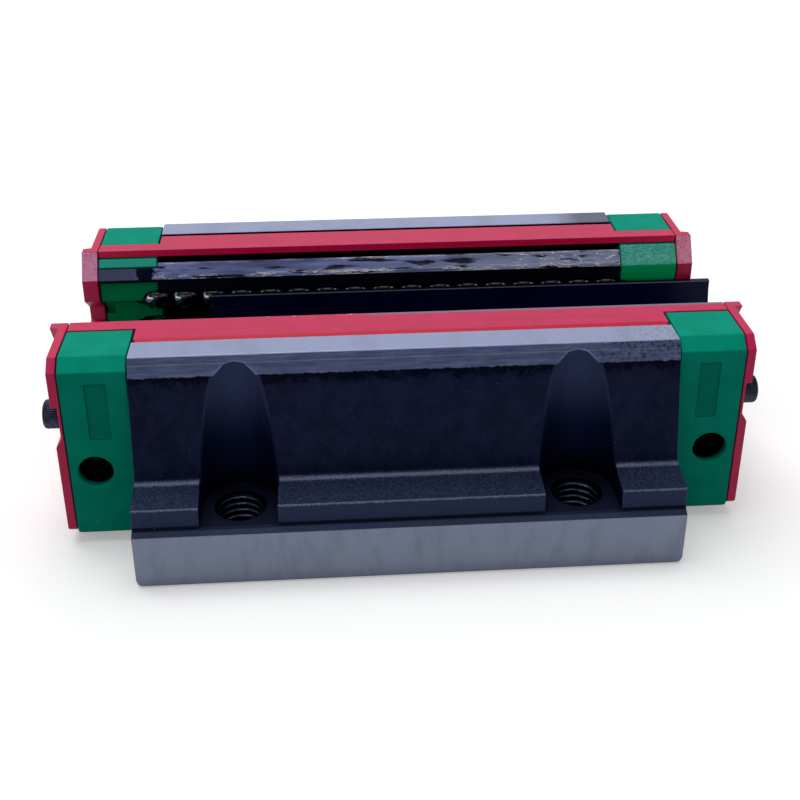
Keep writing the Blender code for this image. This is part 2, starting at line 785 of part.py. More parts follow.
def make_end_seal(parts, cutters):
    """Rubber seal for the right end: a plate with a raised rim that wipes the rail"""
    edge = cap_outside(SEAL_BOTTOM)
    outline = edge + other_side(edge)
    seal = prism("end_seal_right", [outline], "X", CAP_FACE + GAP, SEAL_FACE, parts)
    boolean(seal, rim(cutters), "UNION")
    inner = CAP_FACE - OVERRUN
    outer = CARRIAGE_END + OVERRUN
    opening = prism("rail_opening_cutter", [rail_channel()], "X", inner, outer, cutters)
    boolean(seal, opening, "DIFFERENCE")
    boolean(seal, port_cutter(inner, outer, cutters), "DIFFERENCE")
    for leg in (-1, 1):
        boolean(seal, recess_cutter(leg, cutters), "DIFFERENCE")
        boolean(seal, screw_hole_cutter(inner, outer, leg * SCREW_Y, cutters), "DIFFERENCE")
    return settle(seal)


def make_bottom_seal(parts, cutters):
    """Seal strip along the rear leg's tip, narrowed where it runs over the end caps"""
    lip = BOTTOM_SEAL_LIP / 2
    body = STEEL_END - GAP
    wide = lip + BOTTOM_SEAL_WIDTH
    tongue = lip + BOTTOM_SEAL_TONGUE
    corner = BOTTOM_SEAL_CORNER
    half = [
        (CAP_FACE, lip),
        (CAP_FACE, tongue),
        (body, tongue),
        (body, wide - corner),
        (body - corner, wide),
    ]
    outline = half + [(-x, y) for x, y in reversed(half)]
    seal = prism("bottom_seal_rear", [outline], "Z", SEAL_SEAT + GAP, CARRIAGE_HEIGHT, parts)
    top = wide - BOTTOM_SEAL_BEVEL
    fall = BOTTOM_SEAL_BEVEL_DROP / BOTTOM_SEAL_BEVEL
    slope = [
        (top - OVERRUN, CARRIAGE_HEIGHT + OVERRUN * fall),
        (wide + OVERRUN, CARRIAGE_HEIGHT - BOTTOM_SEAL_BEVEL_DROP - OVERRUN * fall),
        (wide + OVERRUN, CARRIAGE_HEIGHT + OVERRUN),
    ]
    bevel = prism("seal_bevel_cutter", [slope], "X", -CAP_FACE, CAP_FACE, cutters)
    boolean(seal, bevel, "DIFFERENCE")
    return settle(seal)


def make_retainer_strip(parts, cutters):
    """Strip on the rear leg's slanting face, with a lip over the balls that is cut back on the left cap"""
    low_y, low_z = FACET_LOW
    drop = low_z - STRIP_LIP_DROP
    top = STRIP_SHARE - GAP / FACET_RISE
    outline = [
        FACET_LOW,
        along_facet(top, 0),
        along_facet(top, STRIP_THICKNESS),
        along_facet(0, STRIP_THICKNESS),
        (low_y + STRIP_LIP_WIDTH, low_z - STRIP_LIP_OVER_CAP),
        (low_y + STRIP_LIP_WIDTH, drop),
        (low_y, drop),
    ]
    strip = prism("retainer_strip_rear", [outline], "X", -CAP_FACE, STEEL_END, parts)
    past = rectangle((low_y - OVERRUN, drop - OVERRUN), (low_y + OVERRUN, low_z - STRIP_LIP_OVER_CAP))
    over_cap = prism("strip_lip_cutter", [past], "X", -CAP_FACE - OVERRUN, -STEEL_END, cutters)
    boolean(strip, over_cap, "DIFFERENCE")
    return settle(strip)


def make_retainer_plate(parts):
    """Shallow tray on the channel floor, whose raised edges keep the root rows' balls in"""
    corner_y, corner_z = floor_corner()
    foot = arc(row(-1), TUNNEL_RADIUS + GAP, groove_foot(), groove_foot(), 1)[0]
    base = corner_z + GAP
    rise = RAIL_CROWN - GAP
    half = [
        (corner_y - GAP, base),
        (foot[0] - GAP, min(foot[1], rise)),
        (foot[0] - RETAINER_EDGE, rise),
        (RETAINER_TRAY / 2 + RETAINER_WEB, rise),
        (RETAINER_TRAY / 2, base + RETAINER_WEB),
    ]
    length = STEEL_END + RETAINER_REACH
    return prism("retainer_plate", [half + other_side(half)], "X", -length, length, parts)


def circuit_point(side, distance):
    """A point on the rear leg's circuit, by its distance from the return bore's left end"""
    (bore_y, bore_z), (row_y, row_z) = return_bore(side), row(side)
    radius = turn_radius(side)
    turn = math.pi * radius
    centre = Vector((0, *turn_centre(side)))
    outward = turn_direction(side)
    forward = Vector((1, 0, 0))
    distance %= 2 * (STEEL_LENGTH + turn)
    if distance < STEEL_LENGTH:
        return Vector((distance - STEEL_END, bore_y, bore_z))
    distance -= STEEL_LENGTH
    if distance < turn:
        angle = distance / radius
        across = outward * radius * math.cos(angle)
        return centre + forward * (STEEL_END + radius * math.sin(angle)) + across
    distance -= turn
    if distance < STEEL_LENGTH:
        return Vector((STEEL_END - distance, row_y, row_z))
    angle = (distance - STEEL_LENGTH) / radius
    across = outward * radius * math.cos(angle)
    return centre - forward * (STEEL_END + radius * math.sin(angle)) - across


def make_ball_train(side, name, parts):
    """All balls of one circuit, each touching the next, as a string with narrow contacts"""
    length = 2 * (STEEL_LENGTH + math.pi * turn_radius(side))
    count = int(length / BALL_DIAMETER)
    start = STEEL_END + TRAIN_START
    shoulder = BALL_SHOULDER * BALL_RADIUS
    share = math.sqrt(1 - BALL_SHOULDER ** 2)
    rings = [(-BALL_RADIUS, BALL_CONTACT)]
    for index in range(count):
        middle = index * BALL_DIAMETER
        rings.append((middle - shoulder, share))
        rings.append((middle, 1.0))
        rings.append((middle + shoulder, share))
        rings.append((middle + BALL_RADIUS, BALL_CONTACT))
    curve = bpy.data.curves.new(name, "CURVE")
    curve.dimensions = "3D"
    curve.bevel_depth = BALL_RADIUS
    curve.bevel_resolution = 1
    curve.use_fill_caps = True
    spline = curve.splines.new("POLY")
    spline.points.add(len(rings) - 1)
    for point, (distance, width) in zip(spline.points, rings):
        point.co = (*circuit_point(side, start + distance), 1)
        point.radius = width
    obj = bpy.data.objects.new(name, curve)
    parts.objects.link(obj)
    return settle(obj)


def make_cap_screw(name, leg, parts, cutters):
    """Socket-head screw through the end seal and the end cap into the block's right end"""
    head = SCREW_HEAD / 2
    shank = SCREW_DIAMETER / 2
    seat = CAP_FACE + RECESS_FLOOR + GAP
    top = CAP_FACE + RECESS_FLOOR + SCREW_HEAD_HEIGHT
    profile = [
        (0, top),
        (head - SCREW_HEAD_EDGE, top),
        (head, top - SCREW_HEAD_EDGE),
        (head, seat),
        (shank, seat),
        (shank, STEEL_END - SCREW_GRIP),
        (0, STEEL_END - SCREW_GRIP),
    ]
    screw = turned(name, profile, 16, parts)
    screw.matrix_world = Matrix.Rotation(math.pi / 2, 4, "Y")
    y = leg * SCREW_Y
    screw.location = (0, y, SCREW_HEIGHT)
    floor = top - SCREW_SOCKET_DEPTH
    socket = bar("socket_cutter", (floor, y, SCREW_HEIGHT), (top + OVERRUN, y, SCREW_HEIGHT),
                 SCREW_SOCKET / math.sqrt(3), 6, cutters)
    boolean(screw, socket, "DIFFERENCE")
    return settle(screw)


def make_grease_plug(parts, cutters):
    """Headless screw that closes the right end's grease port, flush with the seal"""
    low = SEAL_FACE - PLUG_LENGTH
    plug = bar("grease_plug_right", (low, 0, PORT_HEIGHT), (SEAL_FACE, 0, PORT_HEIGHT),
               PLUG_DIAMETER / 2, 16, parts)
    socket = bar("plug_socket_cutter", (SEAL_FACE - PLUG_SOCKET_DEPTH, 0, PORT_HEIGHT),
                 (SEAL_FACE + OVERRUN, 0, PORT_HEIGHT), PLUG_SOCKET / math.sqrt(3), 6, cutters)
    boolean(plug, socket, "DIFFERENCE")
    return settle(plug)


def transport_flank():
    """Outer side of the transport rail, from its base to the top of its wall"""
    side = ROW_Y - BALL_RADIUS - TRANSPORT_CLEARANCE
    return [
        (side - TRANSPORT_CORNER, RAIL_CROWN),
        (side - TRANSPORT_CORNER / 4, RAIL_CROWN + TRANSPORT_CORNER),
        (side, row(-1)[1]),
        (side - TRANSPORT_WAIST, ROW_MIDDLE),
        (side, TIP_ROW),
        (side, TIP_ROW + TRANSPORT_OVER_ROW),
    ]


def make_transport_rail(parts):
    """Thin plastic channel that stands in for the guide rail and keeps the balls in"""
    flank = transport_flank()
    outer = other_side(flank) + flank
    inner = offset_path(outer, TRANSPORT_WALL)
    half = TRANSPORT_LENGTH / 2
    rail = prism("transport_rail", [outer + inner[::-1]], "X", -half, half, parts)
    rail.location.x = TRANSPORT_SHIFT
    return rail


def give(piece, material):
    """Put a material on a piece and shade its round faces smooth"""
    piece.data.materials.append(material)
    piece.data.shade_smooth()
    piece.data.set_sharp_from_angle(angle=math.radians(SMOOTH_ANGLE))
    return piece


def build_carriage():
    """Model every piece of the carriage"""
    parts = new_collection("linear_guide_carriage")
    cutters = new_collection("cutters")
    steel = finish("hardened_steel", (0.035, 0.037, 0.055), 0.45, 0.8)
    ball_steel = finish("ball_steel", (0.75, 0.76, 0.78), 0.12, 1.0)
    green = finish("green_moulding", (0.0, 0.19, 0.10), 0.4, 0.0)
    red = finish("red_rubber", (0.42, 0.01, 0.05), 0.45, 0.0)
    black = finish("black_moulding", (0.012, 0.012, 0.016), 0.4, 0.0)
    screw_black = finish("black_oxide", (0.03, 0.032, 0.04), 0.35, 0.9)

    give(make_block(parts, cutters), steel)
    cap = give(make_end_cap(parts, cutters), green)
    half_turned_copy(cap, "end_cap_left")
    seal = give(make_end_seal(parts, cutters), red)
    half_turned_copy(seal, "end_seal_left")
    strip_seal = give(make_bottom_seal(parts, cutters), red)
    half_turned_copy(strip_seal, "bottom_seal_front")
    for side, place in ((-1, "root"), (1, "tip")):
        train = give(make_ball_train(side, "balls_rear_" + place, parts), ball_steel)
        half_turned_copy(train, "balls_front_" + place)
    give(make_retainer_plate(parts), black)
    strip = give(make_retainer_strip(parts, cutters), black)
    half_turned_copy(strip, "retainer_strip_front")
    opposite = {"rear": "front", "front": "rear"}
    for leg, place in ((1, "rear"), (-1, "front")):
        guide = give(make_return_guide(leg, "return_guide_right_" + place, parts, cutters), green)
        half_turned_copy(guide, "return_guide_left_" + opposite[place])
        screw = give(make_cap_screw("cap_screw_right_" + place, leg, parts, cutters), screw_black)
        half_turned_copy(screw, "cap_screw_left_" + opposite[place])
    plug = give(make_grease_plug(parts, cutters), screw_black)
    half_turned_copy(plug, "grease_plug_left")
    give(make_transport_rail(parts), black)


clear_scene()
build_carriage()
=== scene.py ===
import json
import math
from collections import namedtuple

import bmesh
import bpy
import numpy as np
from mathutils import Matrix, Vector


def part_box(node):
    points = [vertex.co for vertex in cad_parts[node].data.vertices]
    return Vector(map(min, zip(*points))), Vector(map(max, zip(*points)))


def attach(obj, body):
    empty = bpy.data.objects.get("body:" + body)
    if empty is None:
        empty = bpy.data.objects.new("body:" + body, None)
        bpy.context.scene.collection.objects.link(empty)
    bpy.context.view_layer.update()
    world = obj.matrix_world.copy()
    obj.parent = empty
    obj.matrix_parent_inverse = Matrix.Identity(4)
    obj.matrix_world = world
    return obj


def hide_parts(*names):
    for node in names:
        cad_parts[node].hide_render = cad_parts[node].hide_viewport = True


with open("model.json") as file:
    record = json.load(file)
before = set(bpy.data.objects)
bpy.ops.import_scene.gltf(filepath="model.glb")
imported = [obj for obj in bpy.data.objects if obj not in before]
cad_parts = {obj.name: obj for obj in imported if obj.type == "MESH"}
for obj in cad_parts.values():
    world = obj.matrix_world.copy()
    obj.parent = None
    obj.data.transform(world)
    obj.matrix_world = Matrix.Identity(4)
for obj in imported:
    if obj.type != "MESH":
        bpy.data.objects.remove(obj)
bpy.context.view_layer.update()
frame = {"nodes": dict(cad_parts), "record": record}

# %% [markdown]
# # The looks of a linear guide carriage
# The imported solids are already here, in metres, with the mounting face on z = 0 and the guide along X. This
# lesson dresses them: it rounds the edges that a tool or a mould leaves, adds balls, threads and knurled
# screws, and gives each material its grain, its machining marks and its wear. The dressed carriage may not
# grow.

MM = 0.001
LEGS = {"front": -1, "rear": 1}
ENDS = {"left": -1, "right": 1}
nodes = frame["nodes"]


def to_object(name, data):
    """Link a mesh, a camera or a lamp to the scene under its own name"""
    obj = bpy.data.objects.new(name, data)
    bpy.context.scene.collection.objects.link(obj)
    return obj


# %% [markdown]
# ## The camera of the photograph
# The camera's place and turn were solved from corners whose real places are known, such as the ends of the
# steel, the bolt pockets and the flange edge. The photograph is a crop, so the optical axis misses its middle,
# and a small lens shift brings it there.

# %% Camera
IMAGE_SIDE = 800
FOCAL_LENGTH_PX = 1198.06
OPTICAL_AXIS_PX = (402.57, 304.93)
SENSOR_WIDTH_MM = 36
CAMERA_PLACE = (-0.01805, -0.28470, 0.18161)
CAMERA_RIGHT = (0.99756, -0.06984, -0.00111)
CAMERA_DOWN = (-0.03174, -0.43920, -0.89783)
CAMERA_VIEW = (0.06222, 0.89567, -0.44034)


def make_camera():
    """Columns of the camera's matrix: its right side, its upper side, the way back from the view, its place"""
    data = bpy.data.cameras.new("camera")
    data.sensor_width = SENSOR_WIDTH_MM
    data.lens = SENSOR_WIDTH_MM * FOCAL_LENGTH_PX / IMAGE_SIDE
    data.shift_x = (IMAGE_SIDE / 2 - OPTICAL_AXIS_PX[0]) / IMAGE_SIDE
    data.shift_y = (OPTICAL_AXIS_PX[1] - IMAGE_SIDE / 2) / IMAGE_SIDE
    data.clip_start = 0.01
    camera = to_object("camera", data)
    turn = np.eye(4)
    turn[:3] = np.column_stack([CAMERA_RIGHT, np.negative(CAMERA_DOWN), np.negative(CAMERA_VIEW), CAMERA_PLACE])
    camera.matrix_world = Matrix(turn.tolist())
    bpy.context.scene.camera = camera
    return data


print("lens", round(make_camera().lens, 1), "mm")

# %% [markdown]
# ## Building shader trees in one line a node
# A material is a tree of small nodes. One helper adds a node, sets its options and wires its inputs, and the
# others find their tree by the socket they are given. Colours are written as a screen shows them, from 0 to 255,
# and turned into linear light.

# %% Helpers for node trees


def linear(red, green, blue):
    """A screen colour as linear light: ((c + 0.055) / 1.055) to the power 2.4, or c / 12.92 where it is dark"""
    shade = np.array([red, green, blue]) / 255
    light = np.where(shade > 0.04045, ((shade + 0.055) / 1.055) ** 2.4, shade / 12.92)
    return (*[float(value) for value in light], 1.0)


def put(tree, kind, inputs=None, **options):
    """Add a node: options are its settings, and each input takes a value or another node's output"""
    item = tree.nodes.new("ShaderNode" + kind)
    for name, value in options.items():
        setattr(item, name, value)
    for name, value in (inputs or {}).items():
        if isinstance(value, bpy.types.NodeSocket):
            tree.links.new(value, item.inputs[name])
        else:
            item.inputs[name].default_value = value
    return item


def wired(kind, inputs, **options):
    """Add a node to the tree that its inputs come from, and give its outputs"""
    tree = next(value.id_data for value in inputs.values() if isinstance(value, bpy.types.NodeSocket))
    return put(tree, kind, inputs, **options).outputs


def maths(operation, first, second=0.0):
    """One sum on one or two values"""
    return wired("Math", {0: first, 1: second}, operation=operation)[0]


def all_of(*masks):
    """The product of masks and shares: 1 only where every mask is 1"""
    share = masks[0]
    for mask in masks[1:]:
        share = maths("MULTIPLY", share, mask)
    return share


def between(value, start, stop, low=0.0, high=1.0):
    """Goes smoothly from low to high as the value goes from start to stop"""
    inputs = {"Value": value, "From Min": start, "From Max": stop, "To Min": low, "To Max": high}
    return wired("MapRange", inputs, interpolation_type="SMOOTHSTEP")[0]


def within(value, low, high, soft=0.1):
    """1 from low to high, falling to 0 over a soft margin on either side"""
    return all_of(between(value, low - soft, low), between(value, high + soft, high))


def blend(share, first, second):
    """One value at share 0, the other at share 1"""
    return wired("Mix", {0: share, 2: first, 3: second})[0]


def mixed(share, first, second):
    """One colour at share 0, the other at share 1; three plain numbers are a screen colour"""
    first, second = (linear(*value) if isinstance(value, tuple) else value for value in (first, second))
    return wired("Mix", {0: share, 6: first, 7: second}, data_type="RGBA")[2]


def noise(vector, scale, detail=3.0, roughness=0.55):
    """Cloudy values round 0.5; the scale is in spots per millimetre"""
    return wired("TexNoise", {"Vector": vector, "Scale": scale, "Detail": detail, "Roughness": roughness})[0]


def torn(value, reach, vector, scale, detail, roughness):
    """A value moved up and down by noise, which tears the border of a mask made from it"""
    shift = maths("SUBTRACT", noise(vector, scale, detail, roughness), 0.5)
    return maths("ADD", value, maths("MULTIPLY", shift, reach))


def stretched(vector, factors):
    """The same place with each axis scaled by its own factor, which draws a pattern out along the small ones"""
    return wired("VectorMath", {0: vector, 1: factors}, operation="MULTIPLY")[0]


def beyond(at, first, second):
    """How far a place in the section lies outside the line between two points of it, in millimetres"""
    (first_y, first_z), (second_y, second_z) = first, second
    length = math.hypot(second_y - first_y, second_z - first_z)
    sideways = maths("MULTIPLY", maths("SUBTRACT", at.across, first_y), (second_z - first_z) / length)
    upwards = maths("MULTIPLY", maths("SUBTRACT", at.height, first_z), (first_y - second_y) / length)
    return maths("ADD", sideways, upwards)


def from_axis(first, first_middle, second, second_middle):
    """Distance of a place from an axis, from its two parts across that axis"""
    one = maths("SUBTRACT", first, first_middle)
    other = maths("SUBTRACT", second, second_middle)
    return maths("SQRT", maths("ADD", maths("MULTIPLY", one, one), maths("MULTIPLY", other, other)))


Spot = namedtuple("Spot", "place along side across height")


def spot_on(tree):
    """Place on the object in millimetres: the vector, its three parts, and its distance from the middle plane"""
    place = put(tree, "TexCoord").outputs["Object"]
    scaled = wired("VectorMath", {0: place, "Scale": 1 / MM}, operation="SCALE")[0]
    along, side, height = wired("SeparateXYZ", {0: scaled})
    return Spot(scaled, along, side, maths("ABSOLUTE", side), height)


def surface_of(name, **constants):
    """A material with one Principled shader, whose constants are the same all over it"""
    material = bpy.data.materials.new(name)
    material.use_nodes = True
    tree = material.node_tree
    shader = tree.nodes["Principled BSDF"]
    for key, value in constants.items():
        shader.inputs[key.replace("_", " ")].default_value = value
    return material, tree, shader


def finish_with(tree, shader, colour, roughness, height, depth):
    """Wire colour, roughness and a bump of the given depth in millimetres into a shader"""
    tree.links.new(colour, shader.inputs["Base Color"])
    tree.links.new(roughness, shader.inputs["Roughness"])
    bump = put(tree, "Bump", {"Height": height, "Distance": depth * MM, "Strength": 1.0})
    tree.links.new(bump.outputs[0], shader.inputs["Normal"])


# %% [markdown]
# ## Shared effects
# Five effects come back on several materials, so each is a node group, built once: the fine skin of a moulding,
# the lines that a grinding wheel leaves, the ragged bright line that wear leaves along an edge, loose specks of
# dust, and a film of grease.

# %% A way to start and end a group


def new_group(name, inputs, outputs):
    """An empty node group with named sockets: floats, or a vector where the default is a tuple"""
    group = bpy.data.node_groups.new(name, "ShaderNodeTree")
    for label, default in inputs.items():
        kind = "NodeSocketVector" if isinstance(default, tuple) else "NodeSocketFloat"
        group.interface.new_socket(label, in_out="INPUT", socket_type=kind).default_value = default
    for label in outputs:
        group.interface.new_socket(label, in_out="OUTPUT", socket_type="NodeSocketFloat")
    return group, group.nodes.new("NodeGroupInput").outputs, group.nodes.new("NodeGroupOutput").inputs


def use(group, inputs):
    """Place a group in the tree of its inputs"""
    return wired("Group", inputs, node_tree=group)


# %% Skin of a moulding: a spark-eroded grain with slow clouds under it


def moulded_skin_group():
    """Grain is fine noise, clouds are noise thirty times wider"""
    group, given, result = new_group("moulded_skin", {"Place": (0, 0, 0), "Grain": 6}, ("Grain", "Clouds"))
    group.links.new(noise(given["Place"], given["Grain"], 4, 0.7), result["Grain"])
    wide = maths("DIVIDE", given["Grain"], 30)
    group.links.new(noise(given["Place"], wide, 3), result["Clouds"])
    return group


moulded_skin = moulded_skin_group()

# %% Lines of a grinding wheel: noise drawn out forty times along the stroke


def grinding_group():
    """Lines are noise on a place that is squeezed along X, smudges are slow noise on the same place"""
    inputs = {"Place": (0, 0, 0), "Fineness": 9}
    group, given, result = new_group("grinding", inputs, ("Lines", "Smudges"))
    drawn = stretched(given["Place"], (0.025, 1, 1))
    group.links.new(noise(drawn, given["Fineness"], 2), result["Lines"])
    patch = stretched(given["Place"], (0.12, 0.05, 0.05))
    group.links.new(noise(patch, 1, 4, 0.6), result["Smudges"])
    return group


grinding = grinding_group()

# %% Wear along an edge: a band round a line in the section, torn by noise


def worn_edge_group():
    """Closeness is 1 on the line of the edge and 0 a width away; noise tears it into ragged spots"""
    inputs = {"Place": (0, 0, 0), "Across": 0, "Height": 0, "Edge across": 0, "Edge height": 0,
              "Width": 0.6, "Raggedness": 3}
    group, given, result = new_group("worn_edge", inputs, ("Mask",))
    away = from_axis(given["Across"], given["Edge across"], given["Height"], given["Edge height"])
    closeness = maths("SUBTRACT", 1, maths("DIVIDE", away, given["Width"]))
    lifted = torn(closeness, 2.4, given["Place"], given["Raggedness"], 5, 0.75)
    group.links.new(between(lifted, 0.35, 0.95), result["Mask"])
    return group


worn_edge = worn_edge_group()


def worn_line(at, edge, width):
    """Mask of the wear along an edge that lies at a place across and a height"""
    return use(worn_edge, {"Place": at.place, "Across": at.across, "Height": at.height, "Width": width,
                           "Edge across": edge[0], "Edge height": edge[1]})["Mask"]


# %% Specks: the cells of a Voronoi pattern, of which only a few are filled


def specks_group():
    """A speck is the middle of a cell whose own random value passes a limit"""
    inputs = {"Place": (0, 0, 0), "Per millimetre": 1.2, "Rarity": 0.9, "Size": 0.2}
    group, given, result = new_group("specks", inputs, ("Mask",))
    cells = wired("TexVoronoi", {"Vector": given["Place"], "Scale": given["Per millimetre"]})
    chosen = wired("SeparateColor", {0: cells["Color"]})[0]
    rare = maths("GREATER_THAN", chosen, given["Rarity"])
    near = maths("LESS_THAN", cells["Distance"], given["Size"])
    group.links.new(all_of(rare, near), result["Mask"])
    return group


specks = specks_group()

# %% Grease: streaks drawn along the guide, with torn ridges that carry painted highlights


def grease_group():
    """Film is slow noise drawn out along X, ridges are where a finer one crosses its middle value"""
    group, given, result = new_group("grease", {"Place": (0, 0, 0), "Length": 0.3}, ("Film", "Ridges"))
    drawn = stretched(given["Place"], wired("CombineXYZ", {0: given["Length"], 1: 1, 2: 1})[0])
    group.links.new(noise(drawn, 0.35, 4, 0.6), result["Film"])
    fine = noise(drawn, 1.1, 5, 0.65)
    middle = maths("ABSOLUTE", maths("SUBTRACT", fine, 0.5))
    group.links.new(between(middle, 0.045, 0.01), result["Ridges"])
    return group


grease = grease_group()


GREASE_LENGTH = 0.12
GREASE_RIDGES = (44.6, 46.4)
GLINTS_ALONG = (34, 62)


def greased(at):
    """Packing grease on a slanting face, and its ridges: blue film whose tone is partly painted sheen, paler to
    the right and dark where it is thin, with painted white highlights on the ridges at both borders and painted
    glints near the right end"""
    film = use(grease, {"Place": at.place, "Length": GREASE_LENGTH})
    # the film's grey blue stands partly for painted sheen of the wet grease
    tone = mixed(between(film["Film"], 0.35, 0.6), (84, 95, 150), (130, 143, 200))
    tone = mixed(between(at.along, -20, 50, 0, 0.5), tone, (176, 184, 202))
    thin = noise(stretched(at.place, (0.09, 0.6, 0.6)), 1, 3, 0.5)
    tone = mixed(between(thin, 0.53, 0.62), tone, (20, 24, 50))
    # painted highlights: white on the ridges near both borders, and glints near the right end
    borders = maths("SUBTRACT", 1, within(at.height, *GREASE_RIDGES, 0.8))
    tone = mixed(all_of(film["Ridges"], borders, between(film["Film"], 0.44, 0.5)), tone, (250, 251, 255))
    patches = noise(stretched(at.place, (0.3, 1, 1)), 1.5, 5, 0.75)
    glints = all_of(between(patches, 0.58, 0.63), within(at.along, *GLINTS_ALONG, 6))
    return mixed(glints, tone, (240, 244, 250)), film["Ridges"]


print(len(bpy.data.node_groups), "shared effects")

# %% [markdown]
# ## Hardened steel
# The block has two finishes. The legs and the upper side of the flange keep the dark skin of hardening: nearly
# black, bluish, with fine marks. The mounting face, the flange edges and the tips of the legs are ground bright
# afterwards. Both are one piece of steel, so one material holds both, and the place on the piece decides.

# %% Steel of the block
CHAMFER_FOOT = (42.6, 46)
CHAMFER_BREAK = (41.45, 48.6)
CHAMFER_TOP = (40.3, 50.3)
LEDGE_EDGE = (57.8, 20)
CREST = (49.5, 21.6)
FLANGE_SIDE = 60
FLANGE_TOP = 14
POCKET_FLOOR = 15.1
POCKET_RADIUS = 9.3
HOLE_X = 40
HOLE_Y = 50


def leg_tone(at, grain):
    """Nearly black blue in slow clouds, with short upright scratches, pits, and a darker torn patch under the
    chamfer, which is painted shade
    """
    clouds = noise(at.place, 0.22, 5, 0.65)
    tone = mixed(between(clouds, 0.35, 0.65), (26, 33, 59), (33, 41, 71))
    scratches = noise(stretched(at.place, (1.8, 1, 0.3)), 2.6, 4, 0.7)
    tone = mixed(between(scratches, 0.58, 0.8, 0, 0.55), tone, (84, 94, 126))
    # painted shade: a torn darker band just under the chamfer
    patch = between(torn(at.height, 9, at.place, 0.5, 5, 0.7), 43.5, 45)
    tone = mixed(all_of(patch, 0.8), tone, (10, 14, 30))
    return mixed(between(grain, 0.46, 0.25, 0, 0.6), tone, (8, 12, 28))


def ledge_tone(at, grain):
    """Grey blue and grainy on top of the ledge, smooth on its side, a dark line and a lighter band at its foot"""
    rough = between(noise(at.place, 1.6, 4, 0.75), 0.4, 0.66)
    top = mixed(rough, (37, 45, 70), (60, 69, 97))
    side = mixed(between(grain, 0.3, 0.7), (40, 49, 74), (51, 60, 88))
    tone = mixed(between(at.height, LEDGE_EDGE[1] + 0.3, LEDGE_EDGE[1] - 0.2), top, side)
    tone = mixed(within(at.height, FLANGE_TOP + 1, FLANGE_TOP + 1.5, 0.3), tone, (24, 28, 46))
    return mixed(within(at.height, FLANGE_TOP, FLANGE_TOP + 0.75), tone, (58, 68, 96))


def from_bolt(at):
    """How far a place is from the nearest bolt's axis: along the guide, and in all"""
    aside = maths("ABSOLUTE", maths("SUBTRACT", maths("ABSOLUTE", at.along), HOLE_X))
    return aside, from_axis(aside, 0, at.across, HOLE_Y)


def in_pocket(at):
    """1 on the round wall and the seat of a bolt pocket, and on its straight walls out to the flange edge"""
    aside, distance = from_bolt(at)
    straight = all_of(between(aside, 9.1, 9.05), between(at.across, HOLE_Y - 0.1, HOLE_Y))
    inside = maths("MAXIMUM", between(distance, POCKET_RADIUS + 0.1, POCKET_RADIUS), straight)
    return all_of(inside, between(at.height, POCKET_FLOOR - 0.5, POCKET_FLOOR - 0.2))


def pocket_tone(at):
    """A milled wall that fades from grey blue at its top to nearly black above the seat, as painted shade that
    deepens down the pocket
    """
    # painted shade: darker the deeper it lies in the pocket
    tone = mixed(between(at.height, 44, 27), (47, 55, 86), (17, 26, 58))
    return mixed(between(at.height, POCKET_FLOOR + 0.5, POCKET_FLOOR + 0.1), tone, (36, 42, 66))


def dark_skin(at, grain):
    """The tones of leg, ledge and pocket together, with worn lines where the edges rub"""
    tone = mixed(between(at.height, CREST[1] + 1, CREST[1]), leg_tone(at, grain), ledge_tone(at, grain))
    for edge, width, share in ((LEDGE_EDGE, 0.6, 0.75), (CREST, 1.3, 0.6)):
        tone = mixed(all_of(worn_line(at, edge, width), share), tone, (140, 148, 178))
    dust = use(specks, {"Place": at.place, "Per millimetre": 1.1, "Rarity": 0.985, "Size": 0.12})
    tone = mixed(all_of(dust["Mask"], 0.7), tone, (120, 126, 150))
    return mixed(in_pocket(at), tone, pocket_tone(at))


def chamfer_tone(at, tone):
    """Two narrow ground chamfers with a torn lower border, a faint bright line between them and one stained end"""
    outside = maths("MAXIMUM", beyond(at, CHAMFER_FOOT, CHAMFER_BREAK), beyond(at, CHAMFER_BREAK, CHAMFER_TOP))
    ragged = torn(at.height, 1.3, at.place, 0.9, 6, 0.75)
    band = all_of(between(outside, -0.25, -0.15), between(ragged, CHAMFER_FOOT[1] - 0.2, CHAMFER_FOOT[1] + 0.1))
    cloudy = between(noise(stretched(at.place, (0.1, 1, 1)), 1.3, 4, 0.7), 0.3, 0.7)
    colour = mixed(cloudy, (96, 107, 148), (128, 140, 182))
    colour = mixed(all_of(worn_line(at, CHAMFER_BREAK, 0.3), 0.4), colour, (190, 198, 226))
    stain = all_of(between(noise(at.place, 1.2, 5, 0.75), 0.5, 0.62), between(at.along, 36, 50))
    return mixed(band, tone, mixed(all_of(stain, 0.75), colour, (24, 24, 32)))


def ground_tone(at, ground, edge):
    """Bright ground steel: bluish on the leg tips, greyer and mottled on the flange edges, whose darker grey is
    painted shade for faces turned to the darker front, and which also darken towards the bottom; towards the right
    end the rear tip is oily and the front tip is rusty"""
    # painted shade: the flange edges get a darker grey than the leg tips
    tone = mixed(edge, (158, 167, 204), (112, 119, 138))
    mottle = noise(stretched(at.place, (0.35, 1, 0.12)), 0.6, 5, 0.65)
    tone = mixed(all_of(edge, between(mottle, 0.45, 0.7, 0, 0.4)), tone, (88, 95, 114))
    # darker towards the bottom of the flange edges
    tone = mixed(all_of(edge, between(at.height, 4, 0.5, 0, 0.25)), tone, (84, 90, 108))
    tone = mixed(between(ground["Smudges"], 0.45, 0.7, 0, 0.16), tone, (84, 92, 108))
    tips = between(at.height, 49, 50)
    oily = all_of(between(torn(at.along, 8, at.place, 0.3, 3, 0.6), 45, 58),
                  between(at.side, 20, 21), tips)
    tone = mixed(all_of(oily, 0.9), tone, (72, 79, 108))
    rust = all_of(between(noise(at.place, 1.5, 5, 0.8), 0.52, 0.6), between(at.along, 40, 58),
                  between(at.side, -20, -21), tips)
    return mixed(all_of(rust, 0.7), tone, (96, 90, 98))


